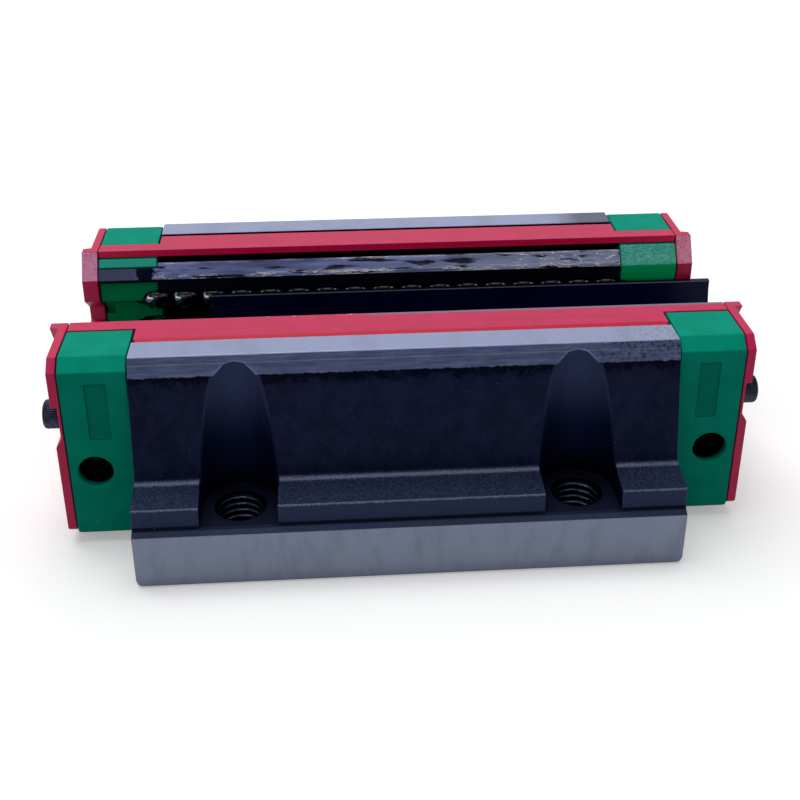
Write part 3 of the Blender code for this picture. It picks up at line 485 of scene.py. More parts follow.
def block_steel():
    """Dark skin everywhere, darker in the channel as painted shade, ground faces by height and distance from the
    middle, grease on the slanting faces; the grease isn't metallic, and the leg tips are so only in part"""
    material, tree, shader = surface_of("block_steel")
    at = spot_on(tree)
    ground = use(grinding, {"Place": at.place, "Fineness": 9})
    grain = noise(at.place, 2.2, 5, 0.7)
    colour = chamfer_tone(at, dark_skin(at, grain))
    # painted shade: the inside of the channel between the legs is nearly black
    channel = all_of(between(at.across, 27, 26.5), between(at.height, 18, 18.4))
    colour = mixed(channel, colour, (12, 15, 28))
    edge = all_of(between(at.across, FLANGE_SIDE - 0.15, FLANGE_SIDE - 0.05),
                  between(at.height, FLANGE_TOP + 0.1, FLANGE_TOP - 0.1))
    tips = between(at.height, CHAMFER_TOP[1] - 0.25, CHAMFER_TOP[1] - 0.15)
    bright = maths("MAXIMUM", maths("MAXIMUM", edge, between(at.height, 0.12, 0.05)), tips)
    colour = mixed(bright, colour, ground_tone(at, ground, edge))
    facet = all_of(between(at.across, 21.9, 21.8), within(at.height, 41, 49))
    film, ridges = greased(at)
    colour = mixed(facet, colour, film)
    roughness = blend(bright, between(grain, 0.2, 0.8, 0.5, 0.7), between(ground["Lines"], 0.2, 0.8, 0.3, 0.42))
    relief = blend(bright, grain, all_of(ground["Lines"], 0.08))
    metal = maths("SUBTRACT", 1, maths("MAXIMUM", facet, all_of(tips, 0.7)))
    tree.links.new(metal, shader.inputs["Metallic"])
    finish_with(tree, shader, colour, blend(facet, roughness, 0.25), blend(facet, relief, ridges), 0.09)
    return material


STEEL = block_steel()
print("steel has", len(STEEL.node_tree.nodes), "nodes")

# %% [markdown]
# ## Mouldings: caps, seals and black plastic
# The caps are green nylon, the seals dark red rubber, the transport rail is an extruded black profile. One
# function makes them all: two tones of a colour in slow clouds, a grain in roughness and bump, and a few specks
# of dust. What only one of them has, such as a port or a rubbed lip, comes from a function of marks.

# %% Moulded and extruded plastic
PORT = {"along": 74.3, "height": 20.5, "radius": 4.2, "mouth": 41.8}
PANEL_ALONG = (69.75, 74.65)
PANEL_HEIGHT = (29.4, 44.2)
PANEL_FLOOR = (41.1, 41.6)
SLANT_FOOT = 43
SEAL_INNER_EDGE = 21.6
SEAL_HALF_LENGTH = 80.4
RAIL_TOP = 39.1


def moulding(name, colour, second, rough, grain, specular, marks=None):
    """Two tones of one colour in clouds, a fine grain in roughness and relief, sparse dust, and marks of its own"""
    material, tree, shader = surface_of(name, Metallic=0, Specular_IOR_Level=specular)
    at = spot_on(tree)
    skin = use(moulded_skin, {"Place": at.place, "Grain": grain})
    tone = mixed(between(skin["Clouds"], 0.35, 0.65), colour, second)
    if marks:
        tone = marks(at, tone)
    dots = use(specks, {"Place": at.place, "Per millimetre": 0.7, "Rarity": 0.985, "Size": 0.1})
    tone = mixed(all_of(dots["Mask"], 0.5), tone, (190, 196, 206))
    roughness = between(skin["Grain"], 0.2, 0.8, rough - 0.06, rough + 0.08)
    finish_with(tree, shader, tone, roughness, skin["Grain"], 0.02)
    return material


def cap_marks(at, tone):
    """Deep shade in the side ports, a darker ground in the bare label panels, slanting faces paler with painted
    sheen, paler inner walls, and smears of grease with painted pale highlights on the slanting face at the rear
    right"""
    along = maths("ABSOLUTE", at.along)
    hole = between(from_axis(along, PORT["along"], at.height, PORT["height"]), PORT["radius"] + 0.05,
                   PORT["radius"])
    deep = all_of(hole, between(at.across, PORT["mouth"] - 0.7, PORT["mouth"] - 2.6))
    tone = mixed(deep, tone, (3, 6, 8))
    panel = all_of(within(along, *PANEL_ALONG), within(at.height, *PANEL_HEIGHT),
                   within(at.across, *PANEL_FLOOR))
    tone = mixed(all_of(panel, 0.3), tone, (0, 74, 56))
    # painted sheen: the slanting faces are mixed a third of the way to a whitish green
    facet = all_of(between(at.across, 21, 20.9), between(at.height, SLANT_FOOT, SLANT_FOOT + 0.3))
    tone = mixed(all_of(facet, 0.35), tone, (90, 205, 190))
    wall = all_of(between(at.across, 27, 26), between(at.height, SLANT_FOOT + 0.3, SLANT_FOOT))
    tone = mixed(wall, tone, mixed(between(at.along, 0, 60), (0, 150, 96), (0, 206, 122)))
    # grease smears drawn as pale painted highlights
    smears = noise(stretched(at.place, (0.6, 1.6, 1.6)), 1.5, 6, 0.75)
    greasy = all_of(facet, between(smears, 0.42, 0.62), between(at.along, 60, 64),
                    between(at.side, 0, 1), between(noise(at.place, 0.25, 3), 0.4, 0.58, 0.35, 1))
    return mixed(all_of(greasy, 0.55), tone, (170, 226, 206))


def seal_marks(at, tone):
    """A broken dark line along the strips as painted shade of a groove, a rubbed lip with crimson faces beside it
    that are brighter as painted light, painted white glints on the front strip, and a pale veined grease film on
    the slanting ends whose paleness is partly painted sheen"""
    ends = maths("ABSOLUTE", at.along)
    inside = between(ends, SEAL_HALF_LENGTH, SEAL_HALF_LENGTH - 0.1)
    raised = between(at.height, 50.1, 50.2)
    broken = between(noise(stretched(at.place, (0.08, 1, 1)), 1, 3), 0.4, 0.6)
    # painted shade: a broken dark line standing for an engraved groove along each strip
    line = all_of(within(at.across, 27.2, 27.3, 0.12), raised, between(ends, 64, 63.5), broken, 0.5)
    tone = mixed(line, tone, (120, 14, 44))
    lip = worn_line(at, (SEAL_INNER_EDGE, 50.3), 0.55)
    tone = mixed(all_of(lip, inside, 0.15), tone, (160, 140, 165))
    # painted light: the lip's inner face and the outer bevel get a brighter, purer crimson than the rubber
    face = all_of(between(at.across, SEAL_INNER_EDGE + 0.1, SEAL_INNER_EDGE),
                  between(at.height, 50.15, 50), inside)
    tone = mixed(face, tone, (255, 0, 84))
    bevel = all_of(between(at.across, 31, 31.2), between(at.height, 50.25, 50.1), inside)
    tone = mixed(bevel, tone, (238, 0, 50))
    near = all_of(inside, between(at.side, -20, -21), raised)
    rubbed = all_of(near, between(at.across, 22.6, 22.4), between(at.along, -14, -4))
    tone = mixed(rubbed, tone, (122, 118, 142))
    # painted highlights: small white glints along the inner edge of the front strip
    glint_noise = between(noise(stretched(at.place, (0.6, 1, 1)), 2.4, 3, 0.7), 0.6, 0.64)
    glints = all_of(near, between(at.across, 21.95, 21.9), glint_noise, within(at.along, -32, -12, 3))
    tone = mixed(glints, tone, (250, 244, 250))
    # grease on the slanting ends, paler than the rubber as painted sheen, with pale veins
    slant = all_of(between(at.across, SEAL_INNER_EDGE, SEAL_INNER_EDGE - 0.2),
                   between(at.height, SLANT_FOOT + 0.2, SLANT_FOOT + 0.4),
                   between(ends, SEAL_HALF_LENGTH - 0.1, SEAL_HALF_LENGTH + 0.1))
    pale = mixed(between(at.along, -60, 60), (250, 134, 200), (250, 116, 160))
    pale = mixed(between(noise(at.place, 0.7, 5, 0.7), 0.4, 0.62, 0, 0.5), pale, (252, 190, 220))
    veins = use(grease, {"Place": at.place, "Length": 0.9})["Ridges"]
    pale = mixed(all_of(veins, 0.6), pale, (255, 226, 246))
    return mixed(all_of(slant, 0.8), tone, pale)


def rail_marks(at, tone):
    """The top of each wall is dark, and its inner edge catches the light as a thin line"""
    tone = mixed(between(at.height, RAIL_TOP - 0.08, RAIL_TOP - 0.02), tone, (2, 4, 16))
    return mixed(all_of(within(at.height, RAIL_TOP - 0.3, RAIL_TOP - 0.1, 0.06), 0.8), tone, (140, 142, 160))


GREEN = moulding("green_moulding", (4, 160, 134), (0, 153, 126), 0.5, 5, 0.03, cap_marks)
RED = moulding("red_rubber", (216, 0, 86), (207, 0, 78), 0.42, 4, 0.42, seal_marks)
BLACK_RAIL = moulding("transport_plastic", (3, 9, 56), (2, 7, 48), 0.3, 3, 0.1, rail_marks)
BLACK = moulding("black_moulding", (8, 10, 20), (5, 7, 15), 0.4, 4, 0.2)

# %% [markdown]
# ## Retainer strips under grease
# The strip on the slanting face keeps the balls in the leg. It is black, but packing grease lies on it in
# streaks that catch the light. Only the greasy part shines, the lip over the balls is dull.

# %% Greasy strip
CAP_END_ALONG = -66


def greasy_black():
    """Grease as on the steel beside it, plain grey blue beyond the steel's left end with a dark torn patch at the
    joint, and bare black on the lip over the balls"""
    material, tree, shader = surface_of("greasy_black", Metallic=0)
    at = spot_on(tree)
    slant = between(at.height, SLANT_FOOT, SLANT_FOOT + 0.3)
    film, ridges = greased(at)
    tone = mixed(between(at.along, CAP_END_ALONG, CAP_END_ALONG - 6), film, (72, 81, 118))
    dark = within(torn(at.along, 9, at.place, 0.5, 4, 0.6), CAP_END_ALONG - 3.5, CAP_END_ALONG, 1.6)
    tone = mixed(dark, tone, (5, 8, 36))
    shine = all_of(slant, maths("SUBTRACT", 1, dark))
    tree.links.new(between(shine, 0, 1, 0.08, 0.5), shader.inputs["Specular IOR Level"])
    finish_with(tree, shader, mixed(slant, (3, 6, 28), tone), blend(slant, 0.5, 0.22), ridges, 0.06)
    return material


GREASY = greasy_black()

# %% [markdown]
# ## Balls and black screws
# The balls are polished bearing steel; on the tip rows they are darkened above and below a narrow band, as
# painted shade and dark reflection. The screws are black oxidised, dark and slightly blue.

# %% Ball steel, black oxide and cut threads
LIT_BAND_HEIGHT = (37.2, 38.5)


def shaded_balls(at, tone):
    """The balls of the tip rows are painted dark above and below a narrow band: painted shade and dark reflections
    from the lip and rail around them
    """
    # painted shade and reflection: only this band and the rows below keep the bright steel
    bare = maths("MAXIMUM", within(at.height, *LIT_BAND_HEIGHT, 0.25), between(at.height, 33, 32.5))
    return mixed(bare, (66, 72, 84), tone)


def polished(name, colour, second, rough, bumps, marks=None):
    """Metal whose tone and roughness wander a little, with marks of its own"""
    material, tree, shader = surface_of(name, Metallic=1)
    at = spot_on(tree)
    cloud = noise(at.place, 1.4, 4)
    tone = mixed(between(cloud, 0.35, 0.65), colour, second)
    if marks:
        tone = marks(at, tone)
    finish_with(tree, shader, tone, between(cloud, 0.2, 0.8, rough, rough + 0.1), cloud, bumps)
    return material


def thread_steel():
    """Crests of a cut thread are thin lines of painted highlight, its flanks are painted dark with the shade inside
    the hole
    """
    material, tree, shader = surface_of("cut_thread", Metallic=1)
    at = spot_on(tree)
    # painted highlight on the crests and painted shade on the flanks
    tone = mixed(between(from_bolt(at)[1], 5.4, 5.2), (15, 18, 36), (124, 132, 164))
    worn = noise(at.place, 1.4, 4)
    finish_with(tree, shader, tone, between(worn, 0.2, 0.8, 0.3, 0.45), worn, 0.01)
    return material


BALL_STEEL = polished("ball_steel", (196, 200, 208), (176, 182, 192), 0.1, 0.002, shaded_balls)
OXIDE = polished("black_oxide", (62, 66, 84), (46, 50, 68), 0.4, 0.01)
THREAD = thread_steel()
print(len(bpy.data.materials), "materials")

# %% [markdown]
# ## Rounded copies of the solids
# A mould leaves a small round on every edge, a deburring brush a smaller one, and light catches on both. The
# solids come as loose triangles. Welding a copy, fusing its flat triangles and running a narrow Bevel over its
# corners gives that round without touching the shape.

# %% Weld, fuse and round


def welded(node, name):
    """A copy of a solid whose equal corners are one vertex and whose flat triangles are one face"""
    source = nodes[node].data
    points = np.empty(len(source.vertices) * 3, np.float32)
    source.vertices.foreach_get("co", points)
    corners = np.empty(len(source.loops), np.int32)
    source.loops.foreach_get("vertex_index", corners)
    keys = np.round(points.reshape(-1, 3) / (0.001 * MM)).astype(np.int64)
    distinct, index = np.unique(keys, axis=0, return_inverse=True)
    triangles = index.reshape(-1)[corners].reshape(-1, 3)
    mesh = bpy.data.meshes.new(name)
    mesh.from_pydata(distinct * 0.001 * MM, [], triangles.tolist())
    shape = bmesh.new()
    shape.from_mesh(mesh)
    bmesh.ops.dissolve_degenerate(shape, dist=1e-6, edges=shape.edges)
    bmesh.ops.dissolve_limit(shape, angle_limit=math.radians(0.5), verts=shape.verts, edges=shape.edges)
    shape.to_mesh(mesh)
    shape.free()
    return to_object(name, mesh)


def frozen(obj):
    """Replace an object's mesh by what its modifiers make of it"""
    bpy.context.view_layer.update()
    evaluated = obj.evaluated_get(bpy.context.evaluated_depsgraph_get())
    obj.data = bpy.data.meshes.new_from_object(evaluated)
    obj.modifiers.clear()
    return obj


def rounded(obj, width, segments=2):
    """Round every corner sharper than 25 degrees by a width in millimetres"""
    bevel = obj.modifiers.new("round", "BEVEL")
    bevel.width = width * MM
    bevel.segments = segments
    bevel.limit_method = "ANGLE"
    bevel.angle_limit = math.radians(25)
    bevel.use_clamp_overlap = False
    bevel.harden_normals = True
    obj.data.shade_smooth()
    return frozen(obj)


def kept_inside(obj, node):
    """Clip every point to the box of the solid, since a wide round can pass it at a narrow corner"""
    places = np.empty(len(obj.data.vertices) * 3, np.float32)
    obj.data.vertices.foreach_get("co", places)
    low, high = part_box(node)
    obj.data.vertices.foreach_set("co", np.clip(places.reshape(-1, 3), low, high).astype(np.float32).ravel())
    obj.data.update()
    return obj


def dress(piece, material, slot, body, *replaced):
    """Give a piece its material, the body it moves with and the solids it stands for; the slot is not used"""
    piece.data.materials.clear()
    piece.data.materials.append(material)
    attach(piece, body)
    if replaced:
        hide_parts(*replaced)
    return piece


# %% [markdown]
# ## Surfaces from grids
# Turned and twisted shapes are worked out with numpy: two arrays of parameters, one formula for the place of
# every point, and one for the faces between them.

# %% Grid helpers


def surface(name, points, *faces):
    """A mesh object from an array of points and arrays of faces, each with its own number of corners"""
    mesh = bpy.data.meshes.new(name)
    corners = np.concatenate([group.ravel() for group in faces]).astype(np.int32)
    sides = np.concatenate([np.full(len(group), group.shape[1]) for group in faces])
    starts = np.concatenate([[0], np.cumsum(sides)[:-1]]).astype(np.int32)
    mesh.vertices.add(len(points))
    mesh.vertices.foreach_set("co", np.ascontiguousarray(points, np.float32).ravel() * np.float32(MM))
    mesh.loops.add(len(corners))
    mesh.loops.foreach_set("vertex_index", corners)
    mesh.polygons.add(len(sides))
    mesh.polygons.foreach_set("loop_start", starts)
    mesh.update(calc_edges=True)
    mesh.validate()
    mesh.shade_smooth()
    return to_object(name, mesh)


def tube_faces(rings, around, closed=False):
    """Quads between rings of points; the last ring joins the first where the tube is closed on itself"""
    ring = np.arange(rings if closed else rings - 1)[:, None]
    spot = np.arange(around)[None, :]
    after = (spot + 1) % around
    upper = (ring + 1) % rings
    corners = np.stack([ring * around + spot, ring * around + after, upper * around + after,
                        upper * around + spot], axis=-1)
    return corners.reshape(-1, 4)


def fan(ring_start, around, pole, outwards):
    """Triangles from one ring of points to a pole"""
    spot = np.arange(around)
    after = (spot + 1) % around
    triangles = np.stack([ring_start + spot, ring_start + after, np.full(around, pole)], axis=-1)
    return triangles if outwards else triangles[:, ::-1]


# %% [markdown]
# ## The block
# The dressed block is the welded solid with rounded corners. Its four bolt holes are opened to the thread's
# outer diameter first, because a thread is cut into the wall and its crests stay at the drill's diameter, and
# the ends of the mounting face get the round that eases the block onto a table.

# %% Dressed block with opened bolt holes and rounded ends
THREAD_OUTSIDE = 12.1
SEAT = frame["record"]["mounts"][-1]["pos_m"][2] / MM
AROUND_HOLE = 64
STEEL_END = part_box("block")[1].x / MM
END_ROUND = 2.2


def hole_opener(x, y):
    """A plain cylinder: a ring of points at radius r, drawn from below the block to just under the seat"""
    angle = np.arange(AROUND_HOLE) * 2 * np.pi / AROUND_HOLE
    ring = np.stack([x + THREAD_OUTSIDE / 2 * np.cos(angle), y + THREAD_OUTSIDE / 2 * np.sin(angle)], axis=-1)
    levels = np.array([-1.0, SEAT + 0.5])
    points = np.concatenate([np.column_stack([ring, np.full(AROUND_HOLE, level)]) for level in levels])
    caps = np.stack([np.arange(AROUND_HOLE)[::-1], np.arange(AROUND_HOLE) + AROUND_HOLE])
    return surface("opener", points, tube_faces(2, AROUND_HOLE), caps)


def end_rounder(side):
    """A bar across the guide whose section is a corner less a quarter circle: the arc, then the corner's outside"""
    angle = np.linspace(0, np.pi / 2, 9)
    arc = np.stack([STEEL_END + END_ROUND * (np.sin(angle) - 1), END_ROUND * (1 - np.cos(angle))], axis=-1)
    outside = [[STEEL_END + 1, END_ROUND], [STEEL_END + 1, -1], [STEEL_END - END_ROUND, -1]]
    section = np.concatenate([arc, outside])[::side] * (side, 1)
    count = len(section)
    points = np.concatenate([np.insert(section, 1, y, axis=1) for y in (-61.0, 61.0)])
    caps = np.stack([np.arange(count)[::-1], np.arange(count) + count])
    return surface("rounder", points, tube_faces(2, count), caps)


block = welded("block", "steel_block")
cutters = [hole_opener(x, y) for x in (-HOLE_X, HOLE_X) for y in (-HOLE_Y, HOLE_Y)]
cutters += [end_rounder(side) for side in ENDS.values()]
for cutter in cutters:
    cut = block.modifiers.new("cut", "BOOLEAN")
    cut.operation = "DIFFERENCE"
    cut.solver = "EXACT"
    cut.object = cutter
frozen(block)
for cutter in cutters:
    bpy.data.objects.remove(cutter, do_unlink=True)
dress(rounded(block, 0.22), STEEL, "steel", "carriage", "block")
print("block", len(block.data.polygons), "faces, seat at", SEAT)

# %% [markdown]
# ## Threads
# An M12 thread is a ridge that climbs 1.75 mm a turn. As a surface it is a tube whose radius depends on the
# height and the angle together: a triangle wave of height / pitch minus angle / full turn.

# %% Thread linings of the four bolt holes
PITCH = 1.75
CREST_RADIUS = 5.15
ROOT_RADIUS = 5.95
MOUTH_RADIUS = 5.9
ROWS_PER_TURN = 10


def thread_lining(name, x, y):
    """Inner radius is the crest plus a triangle wave of height over pitch less angle over a turn, widened to the
    mouth's 45 degree chamfer near the seat; the lining's outer wall is a plain cylinder that closes it"""
    levels = np.linspace(0.05, SEAT - 0.02, int(SEAT / PITCH * ROWS_PER_TURN))
    angle = np.arange(AROUND_HOLE) * 2 * np.pi / AROUND_HOLE
    height, turn = np.meshgrid(levels, angle, indexing="ij")
    wave = np.abs(((height / PITCH - turn / (2 * np.pi)) % 1.0) * 2 - 1)
    cut = CREST_RADIUS + (ROOT_RADIUS - CREST_RADIUS) * np.clip(wave * 1.5 - 0.2, 0, 1)
    radius = np.maximum(cut, MOUTH_RADIUS - (SEAT - height))
    inner = np.stack([x + radius * np.cos(turn), y + radius * np.sin(turn), height], axis=-1)
    outside = THREAD_OUTSIDE / 2 - 0.01
    outer = np.stack([x + outside * np.cos(turn), y + outside * np.sin(turn), height], axis=-1)[[-1, 0]]
    points = np.concatenate([inner, outer]).reshape(-1, 3)
    faces = tube_faces(len(levels) + 2, AROUND_HOLE, closed=True)[:, ::-1]
    return surface(name, points, faces)


for end, x_side in ENDS.items():
    for leg, y_side in LEGS.items():
        lining = thread_lining(f"thread_{end}_{leg}", x_side * HOLE_X, y_side * HOLE_Y)
        lining.data.set_sharp_from_angle(angle=math.radians(40))
        dress(lining, THREAD, "steel", "carriage")
print("thread", len(lining.data.polygons), "faces each")

# %% [markdown]
# ## Caps, seals and retainers
# These keep their solids' shapes. Each gets a rounding of its own: wide on the soft rubber, narrow on the thin
# strips.

# %% Rounded mouldings
ROUNDED = [
    ("end_cap", ENDS, GREEN, "green_moulding", 0.3), ("end_seal", ENDS, RED, "red_rubber", 0.22),
    ("bottom_seal", LEGS, RED, "red_rubber", 0.15), ("retainer_strip", LEGS, GREASY, "black_moulding", 0.12),
    ("retainer", ["plate"], BLACK, "black_moulding", 0.15),
]
for family, members, material, slot, width in ROUNDED:
    for member in members:
        node = f"{family}_{member}"
        copy = kept_inside(rounded(welded(node, "dressed_" + node), width), node)
        piece = dress(copy, material, slot, "carriage", node)
        print(piece.name, len(piece.data.polygons), "faces")
rail = rounded(welded("transport_rail", "dressed_transport_rail"), 0.15)
dress(rail, BLACK_RAIL, "transport_plastic", "transport_rail", "transport_rail")

# %% [markdown]
# ## Films of packing grease
# Grease lies over the slanting face of each leg and hides the seam between the strip and the steel. A film is a
# closed tube, flat below and wavy on top: at every place along the guide its section runs up the slanting face
# and back over the film.

# %% Grease on the slanting faces
FACET_FOOT = (17.5, 43.2)
FACET_TOP = (20.8, 48.0)
WAVES = 40


def thickness(along, upwards, seed):
    """0.05 mm plus a sum of sine waves of random length, much longer along the guide than up the face, whose
    heights fall with their number"""
    chance = np.random.default_rng(seed)
    number = np.arange(WAVES) + 1
    pace = chance.normal(0, 0.06, WAVES) * number ** 0.6
    climb = chance.normal(0, 1.2, WAVES)
    phase = chance.uniform(0, 2 * np.pi, WAVES)
    wave = np.sin(along[..., None] * pace + upwards[..., None] * climb + phase) / number ** 0.5
    return 0.05 + 0.022 * np.clip(wave.sum(-1), -1.5, 3.0)


def grease_film(name, leg, seed, slices=420, steps=14):
    """The face is a straight line in the section; the film's upper points stand off it by the thickness, which
    falls to nothing at both borders"""
    share = np.linspace(0.04, 0.78, steps)
    along, up = np.meshgrid(np.linspace(2 - STEEL_END, STEEL_END - 0.5, slices), share, indexing="ij")
    run, rise = FACET_TOP[0] - FACET_FOOT[0], FACET_TOP[1] - FACET_FOOT[1]
    length = math.hypot(run, rise)
    border = np.clip(np.minimum(up - share[0], share[-1] - up) / 0.05, 0, 1) ** 0.5
    height = thickness(along, up * length, seed) * border
    lift = np.concatenate([height, np.full((slices, 2), -0.03)], axis=1)
    up = np.concatenate([up, np.broadcast_to(share[[-1, 0]], (slices, 2))], axis=1)
    along = np.concatenate([along, along[:, :2]], axis=1)
    across = FACET_FOOT[0] + run * up - rise / length * lift
    upright = FACET_FOOT[1] + rise * up + run / length * lift
    points = np.stack([along, leg * across, upright], axis=-1)
    around = steps + 2
    ends = points[[0, -1]].mean(axis=1)
    faces = [tube_faces(slices, around), fan(0, around, slices * around, False),
             fan((slices - 1) * around, around, slices * around + 1, True)]
    if leg > 0:
        faces = [face[:, ::-1] for face in faces]
    return surface(name, np.concatenate([points.reshape(-1, 3), ends]), faces[0], np.concatenate(faces[1:]))


for seed, (leg, side) in enumerate(LEGS.items()):
    film = grease_film(f"grease_film_{leg}", side, seed)
    dress(film, GREASY, "black_moulding", "carriage")
print("film", len(film.data.polygons), "faces")

# %% [markdown]
# ## Ball circuits
# Each row of balls runs along its groove, turns round in the cap, comes back through a bore and turns again. A
# ball's place is a function of its distance along that closed path, and one small sphere is copied to all of
# them at once.

# %% Balls on their closed path
BALL_DIAMETER = 7.9375
FIRST_BALL = 71.6
ROWS = {"root": ((21.5, 25.5), (33.0, 21.7)), "tip": ((21.5, 36.5), (33.0, 40.3))}


def circuit(row, bore, distance):
    """Straight along the bore, half a circle round the right end, straight back along the row, half a circle"""
    row, bore = np.array(row), np.array(bore)
    radius = np.linalg.norm(bore - row) / 2
    outward = (bore - row) / (2 * radius)
    length, turn = 2 * STEEL_END, np.pi * radius
    distance = distance % (2 * (length + turn))
    second = distance >= length + turn
    part = np.where(second, distance - length - turn, distance)
    angle = np.clip(part - length, 0, None) / radius
    x = np.minimum(part, length) - STEEL_END + radius * np.sin(angle)
    reach = radius * np.cos(angle)
    sign = np.where(second, -1.0, 1.0)
    across = (row + bore) / 2 + (sign * reach)[:, None] * outward
    return np.column_stack([sign * x, across])


def unit_ball(around=12, rings=7):
    """Rings of points at equal steps of latitude, with a pole at each end"""
    latitude = (np.arange(rings) + 1) * np.pi / (rings + 1)
    angle = np.arange(around) * 2 * np.pi / around
    polar, turn = np.meshgrid(latitude, angle, indexing="ij")
    points = np.stack([np.sin(polar) * np.cos(turn), np.sin(polar) * np.sin(turn), np.cos(polar)], axis=-1)
    points = np.concatenate([points.reshape(-1, 3), [[0, 0, 1], [0, 0, -1]]])
    poles = [fan(0, around, rings * around, True),
             fan((rings - 1) * around, around, rings * around + 1, False)]
    return points, tube_faces(rings, around)[:, ::-1], np.concatenate(poles)


def ball_train(name, row, bore, leg):
    """One sphere copied to every place of the train, turned half round for the front leg"""
    path = 2 * (2 * STEEL_END + np.pi * np.linalg.norm(np.subtract(bore, row)) / 2)
    count = int(path / BALL_DIAMETER)
    centres = circuit(row, bore, FIRST_BALL + np.arange(count) * BALL_DIAMETER)
    centres[:, :2] *= leg
    points, quads, triangles = unit_ball()
    spread = centres[:, None, :] + points[None] * BALL_DIAMETER / 2
    shift = (np.arange(count) * len(points))[:, None, None]
    return surface(name, spread.reshape(-1, 3), (quads[None] + shift).reshape(-1, 4),
                   (triangles[None] + shift).reshape(-1, 3)), count


for place, (row, bore) in ROWS.items():
    for leg, side in LEGS.items():
        train, count = ball_train(f"ball_train_{leg}_{place}", row, bore, side)
        dress(train, BALL_STEEL, "ball_steel", "carriage", f"balls_{leg}_{place}")
print(count, "balls a circuit")

# %% [markdown]
# ## Screws
# A socket-head cap screw has a knurled rim. The head is a turned profile, and the knurl is a wave added to its
# radius; the socket is the same profile running on inwards with a hexagonal radius instead of a round one.

# %% Knurled cap screws and grease plugs
KNURLS = 48
KNURL_DEPTH = 0.12
HEAD_HEIGHT = 3.9
SCREW_STEPS = KNURLS * 4


def lathe(profile, knurl, depth, hexagonal):
    """A profile of (radius, height) rings turned about its axis; knurled rings lose a wave of the given depth, and
    hexagonal rings keep their flats at the given radius"""
    angle = np.arange(SCREW_STEPS) * 2 * np.pi / SCREW_STEPS
    radius, height = np.array(profile, float).T
    wave = depth * np.abs(np.sin(angle * KNURLS / 2)) ** 1.5
    ring = radius[:, None] - np.array(knurl, float)[:, None] * (depth - wave)[None]
    sector = np.pi / 3
    hexagon = 1 / np.cos((angle % sector) - sector / 2)
    ring = ring * np.where(np.array(hexagonal, bool)[:, None], hexagon[None], 1.0)
    return np.stack([ring * np.cos(angle), ring * np.sin(angle), np.broadcast_to(height[:, None], ring.shape)],
                    axis=-1)


def middle_of(node):
    """Middle of a solid's box across the guide, and its two ends along it, in millimetres"""
    low, high = (np.array(corner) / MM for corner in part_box(node))
    ends = sorted((abs(low[0]), abs(high[0])))
    return (low[1:] + high[1:]) / 2, *ends


def turned_piece(node, profile, knurl, hexagonal, end):
    """Stand a turned profile in the place of a solid, its axis along the guide"""
    rings = lathe(profile, knurl, KNURL_DEPTH, hexagonal)
    count = len(rings)
    points = np.concatenate([rings.reshape(-1, 3), [[0, 0, profile[0][1]], [0, 0, profile[-1][1]]]])
    across, height = middle_of(node)[0]
    placed = np.column_stack([end * points[:, 2], across + end * points[:, 0], height + points[:, 1]])
    ends = np.concatenate([fan(0, SCREW_STEPS, count * SCREW_STEPS, False),
                           fan((count - 1) * SCREW_STEPS, SCREW_STEPS, count * SCREW_STEPS + 1, True)])
    piece = surface("dressed_" + node, placed, tube_faces(count, SCREW_STEPS), ends)
    piece.data.set_sharp_from_angle(angle=math.radians(38))
    return dress(piece, OXIDE, "black_steel", "carriage", node)


for end, side in ENDS.items():
    for leg in LEGS:
        node = f"cap_screw_{end}_{leg}"
        _, foot, top = middle_of(node)
        seat = top - HEAD_HEIGHT
        profile = [(0.4, foot), (1.8, foot), (2.0, foot + 0.3), (2.0, seat), (3.2, seat), (3.42, seat + 0.15),
                   (3.5, seat + 0.3), (3.5, top - 0.75), (3.42, top - 0.4), (3.2, top - 0.12), (2.95, top),
                   (1.75, top), (1.55, top - 0.2), (1.5, top - 0.4), (1.5, top - 2.0), (0.4, top - 2.3)]
        screw = turned_piece(node, profile, [0] * 6 + [1, 1, 0.4] + [0] * 7, [0] * 13 + [1, 1, 0], side)
    node = f"grease_plug_{end}"
    _, foot, top = middle_of(node)
    profile = [(0.4, foot), (3.7, foot), (4.0, foot + 0.3), (4.0, top - 0.4), (3.6, top), (2.3, top),
               (2.05, top - 0.2), (2.0, top - 0.3), (2.0, top - 3.0), (0.4, top - 3.4)]
    turned_piece(node, profile, [0] * 10, [0] * 7 + [1, 1, 0], side)
print("screw", len(screw.data.polygons), "faces")

# %% [markdown]
# ## What stays a plain solid
# The return guides are closed in between cap and block. Their solids stay, with the caps' green on them.

# %% Return guides
for end in ENDS:
    for leg in LEGS:
        nodes[f"return_guide_{end}_{leg}"].data.materials.clear()
        nodes[f"return_guide_{end}_{leg}"].data.materials.append(GREEN)

# %% [markdown]
# ## Studio
# A pale floor and one large soft lamp, high above and a little behind, so that tops are bright and fronts stay
# deep as in the photograph. The background is white only to the camera and in some reflections, and lights the
# object much less than it looks.

# %% Floor, world and lamp
AMBIENT = 0.34
CEILING = 0.16
DARK_SIDE = 0.02
FLOOR_GLOW = 0.3
FLOOR_GREY = 0.3
FLOOR_WHITE = 0.95
FLOOR_SIDE = 6000.0
FLOOR_HEIGHT = -0.05
LAMP_PLACE = (-0.2, 0.35, 1.5)
LAMP_SIDE = 1.4
LAMP_POWER = 15.0


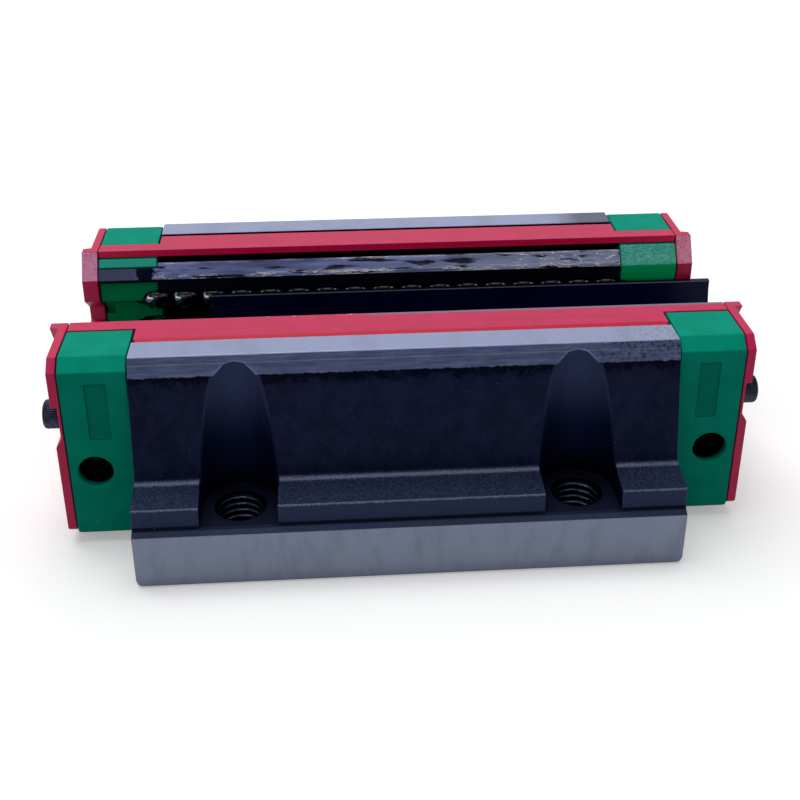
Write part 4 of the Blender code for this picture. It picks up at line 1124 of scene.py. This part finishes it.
def seen_by(rays):
    """1 for rays that show the background, from the camera or through glass"""
    return maths("MAXIMUM", rays["Is Camera Ray"], rays["Is Transmission Ray"])


def make_world():
    """White where it is seen and in a gloss near the horizon behind and beside, with a dim ceiling over it and a
    dark room in front; as light it is an even weak grey"""
    world = bpy.data.worlds.new("studio")
    world.use_nodes = True
    tree = world.node_tree
    background = tree.nodes["Background"]
    background.inputs["Color"].default_value = (0.96, 0.98, 1.0, 1)
    _, back, up = wired("SeparateXYZ", {0: put(tree, "TexCoord").outputs["Generated"]})
    walls = all_of(between(up, 0.62, 0.42), between(back, -0.45, 0.1))
    before = all_of(between(up, 0.6, 0.5), between(back, -0.1, -0.35))
    rays = put(tree, "LightPath").outputs
    glossy = blend(walls, blend(before, CEILING, DARK_SIDE), 1.0)
    strength = blend(rays["Is Glossy Ray"], AMBIENT, glossy)
    tree.links.new(blend(seen_by(rays), strength, 1.0), background.inputs["Strength"])
    bpy.context.scene.world = world


def make_floor():
    """A square of one face, a hair under the mounting face: pale grey as light, white where it is seen"""
    corners = np.array([[-1, -1], [1, -1], [1, 1], [-1, 1]]) * FLOOR_SIDE / 2
    floor = surface("floor", np.column_stack([corners, np.full(4, FLOOR_HEIGHT)]), np.array([[0, 1, 2, 3]]))
    material, tree, shader = surface_of("floor_white", Roughness=0.9, Specular_IOR_Level=0.0,
                                        Emission_Color=(1, 1, 1, 1))
    rays = put(tree, "LightPath").outputs
    shown = maths("MAXIMUM", seen_by(rays), rays["Is Glossy Ray"])
    tree.links.new(between(shown, 0.0, 1.0, FLOOR_GREY, FLOOR_WHITE), shader.inputs["Base Color"])
    tree.links.new(all_of(shown, FLOOR_GLOW), shader.inputs["Emission Strength"])
    floor.data.materials.append(material)


def make_lamp():
    """A square soft lamp that looks at the carriage"""
    data = bpy.data.lights.new("key", "AREA")
    data.size = LAMP_SIDE
    data.energy = LAMP_POWER
    lamp = to_object("key", data)
    lamp.location = LAMP_PLACE
    lamp.rotation_euler = (-lamp.location).to_track_quat("-Z", "Y").to_euler()


make_world()
make_floor()
make_lamp()
bpy.context.scene.view_settings.view_transform = "Standard"
